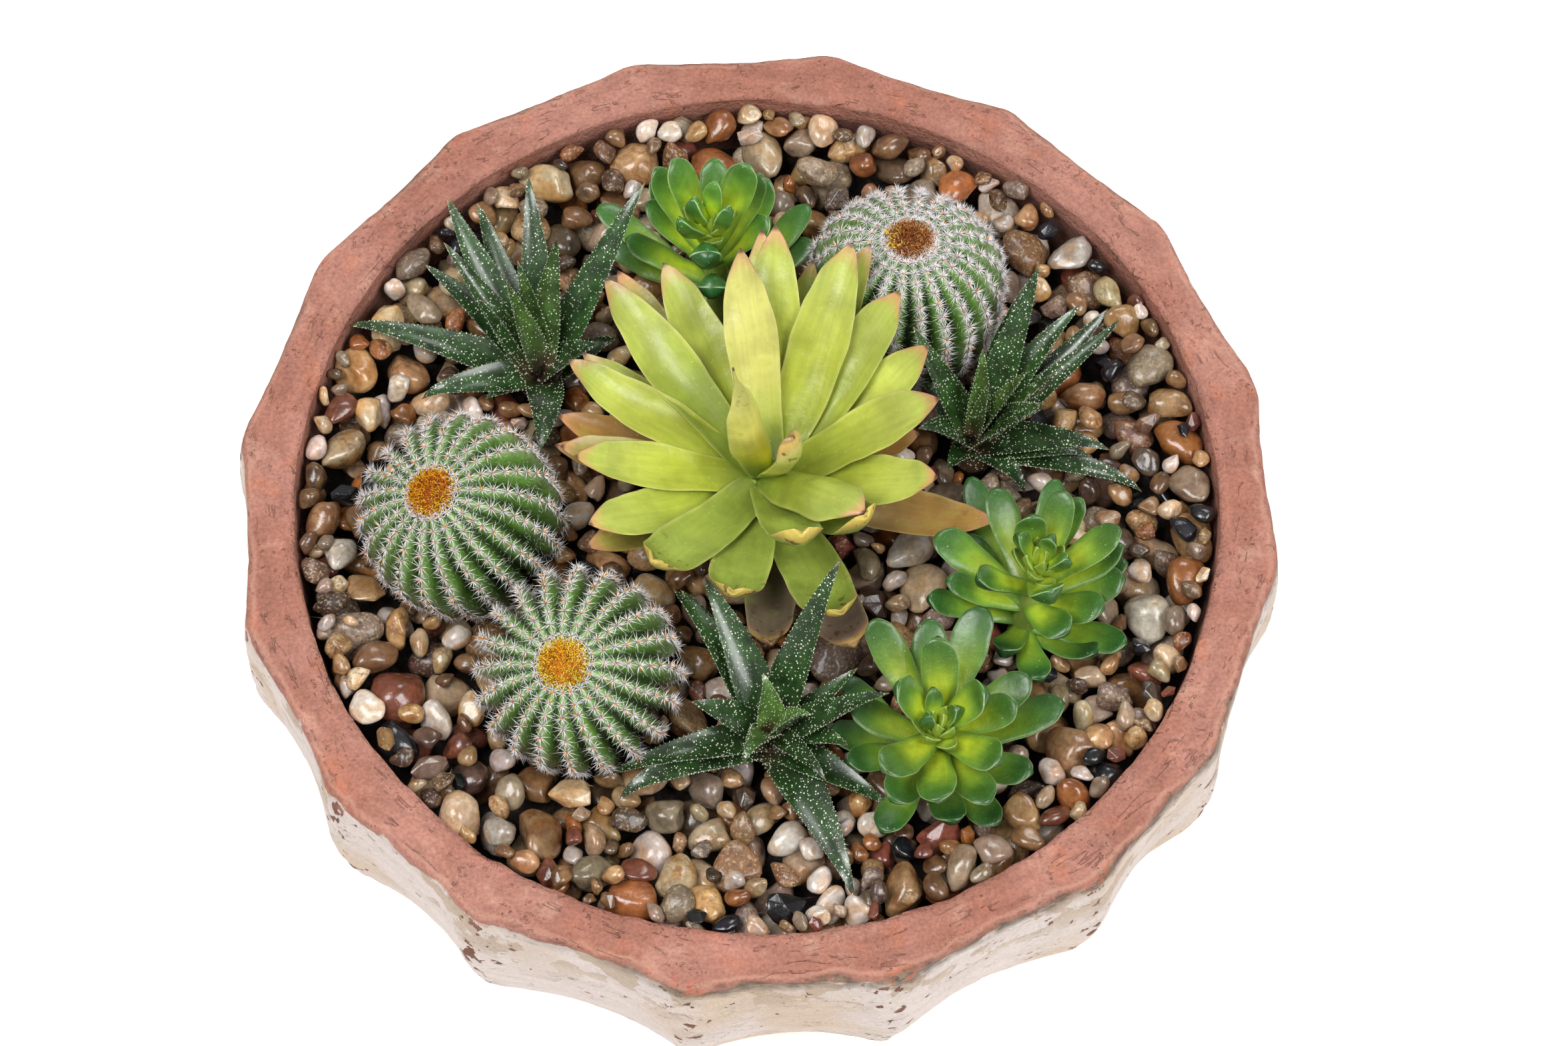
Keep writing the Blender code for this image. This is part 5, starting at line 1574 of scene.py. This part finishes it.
def pebble_material():
    s = Shader("river_pebble", 0.25, {"Coat Weight": 0.45, "Coat Roughness": 0.12})
    shift, veins, speckles = s.value("shift"), s.value("veins"), s.value("speckles")
    colour = s.mottle(s.tint(), 6, 4, 0.78, 1.16, shift=shift)
    colour = s.mottle(colour, 1.5, 4, 0.86, 1.12, shift=shift)
    lines = s.part(s.step(s.ridges(7, 3, shift=shift), 0.035, 0.0), s.step(veins, 0.1, 0.4))
    colour = s.over(colour, VEIN_BROWN, lines, 0.5)
    patches = s.part(s.patches(7, 5, 0.56, 0.68, shift=shift), veins)
    colour = s.over(colour, VEIN_BROWN, patches, 0.8)
    pale = s.part(s.patches(1.0, 3, 0.55, 0.62, shift=shift), speckles)
    dark = s.part(s.patches(1.2, 3, 0.44, 0.38, shift=shift), speckles)
    colour = s.over(colour, VEIN_CREAM, pale, 0.5)
    colour = s.over(colour, SPECK_DARK, dark, 0.6)
    grain = s.part(s.noise(0.9, 3, shift=shift), speckles)
    s.relief((s.noise(3, 2, shift=shift), 0.35), (s.noise(0.7, 2, shift=shift), 0.04), (grain, 0.35))
    roughness = s.math("ADD", s.scaled(speckles, 0.3, 0.13), s.part(s.noise(4, 2, shift=shift), 0.2))
    return s.done(colour, roughness)


def make_camera():
    """A camera that looks down on the bowl from the front, turned slightly about its own axis."""
    elevation, roll = math.radians(CAMERA_ELEVATION), math.radians(CAMERA_ROLL)
    back = Vector((0, -math.cos(elevation), math.sin(elevation)))
    level = Vector((0, 0, 1)).cross(back).normalized()
    upright = back.cross(level)
    across = level * math.cos(roll) + upright * math.sin(roll)
    up = upright * math.cos(roll) - level * math.sin(roll)
    matrix = Matrix((across, up, back)).transposed().to_4x4()
    matrix.translation = (Vector(CAMERA_TARGET) + back * CAMERA_DISTANCE) * MM
    data = bpy.data.cameras.new("camera")
    data.lens = CAMERA_LENS
    data.sensor_width = CAMERA_SENSOR
    data.clip_start, data.clip_end = 0.05, 20
    camera = bpy.data.objects.new("camera", data)
    camera.matrix_world = matrix
    bpy.context.scene.collection.objects.link(camera)
    bpy.context.scene.camera = camera


def add_softbox(name, place, size, power):
    """A square area light in metres that faces the bowl."""
    data = bpy.data.lights.new(name, "AREA")
    data.shape = "SQUARE"
    data.size = size
    data.energy = power
    light = bpy.data.objects.new(name, data)
    light.location = place
    light.rotation_euler = (Vector(place) - Vector((0, 0, 0.1))).to_track_quat("Z", "Y").to_euler()
    bpy.context.scene.collection.objects.link(light)


def make_stage():
    """A pale floor, soft light from the upper left and a white surround."""
    half = FLOOR_HALF
    mesh = bpy.data.meshes.new("floor")
    corners = [(-half, -half, 0), (half, -half, 0), (half, half, 0), (-half, half, 0)]
    mesh.from_pydata(corners, [], [(0, 1, 2, 3)])
    floor = bpy.data.objects.new("floor", mesh)
    floor.location.z = -FLOOR_DROP * MM
    s = Shader("pale_floor", 0.9, {
        "Specular IOR Level": 0.1, "Emission Color": (1.0, 1.0, 1.0, 1.0), "Emission Strength": FLOOR_GLOW,
    })
    mesh.materials.append(s.done(s.mix(s.noise(400, 2), (0.97, 0.97, 0.97), (0.98, 0.98, 0.98))))
    bpy.context.scene.collection.objects.link(floor)
    for name, (place, size, power) in SOFTBOXES.items():
        add_softbox(name, place, size, power)
    world = bpy.data.worlds.new("surround")
    world.use_nodes = True
    background = world.node_tree.nodes["Background"]
    background.inputs["Color"].default_value = (1, 1, 1, 1)
    background.inputs["Strength"].default_value = SURROUND_STRENGTH
    scene = bpy.context.scene
    scene.world = world
    scene.view_settings.view_transform = "Standard"
    scene.view_settings.look = "None"


def main():
    make_camera()
    make_stage()
    make_bowl()
    finish_soil()
    plants = [make_rosette(), *make_haworthias(), *make_sedums(), *make_cacti()]
    make_pebbles(plants)


main()
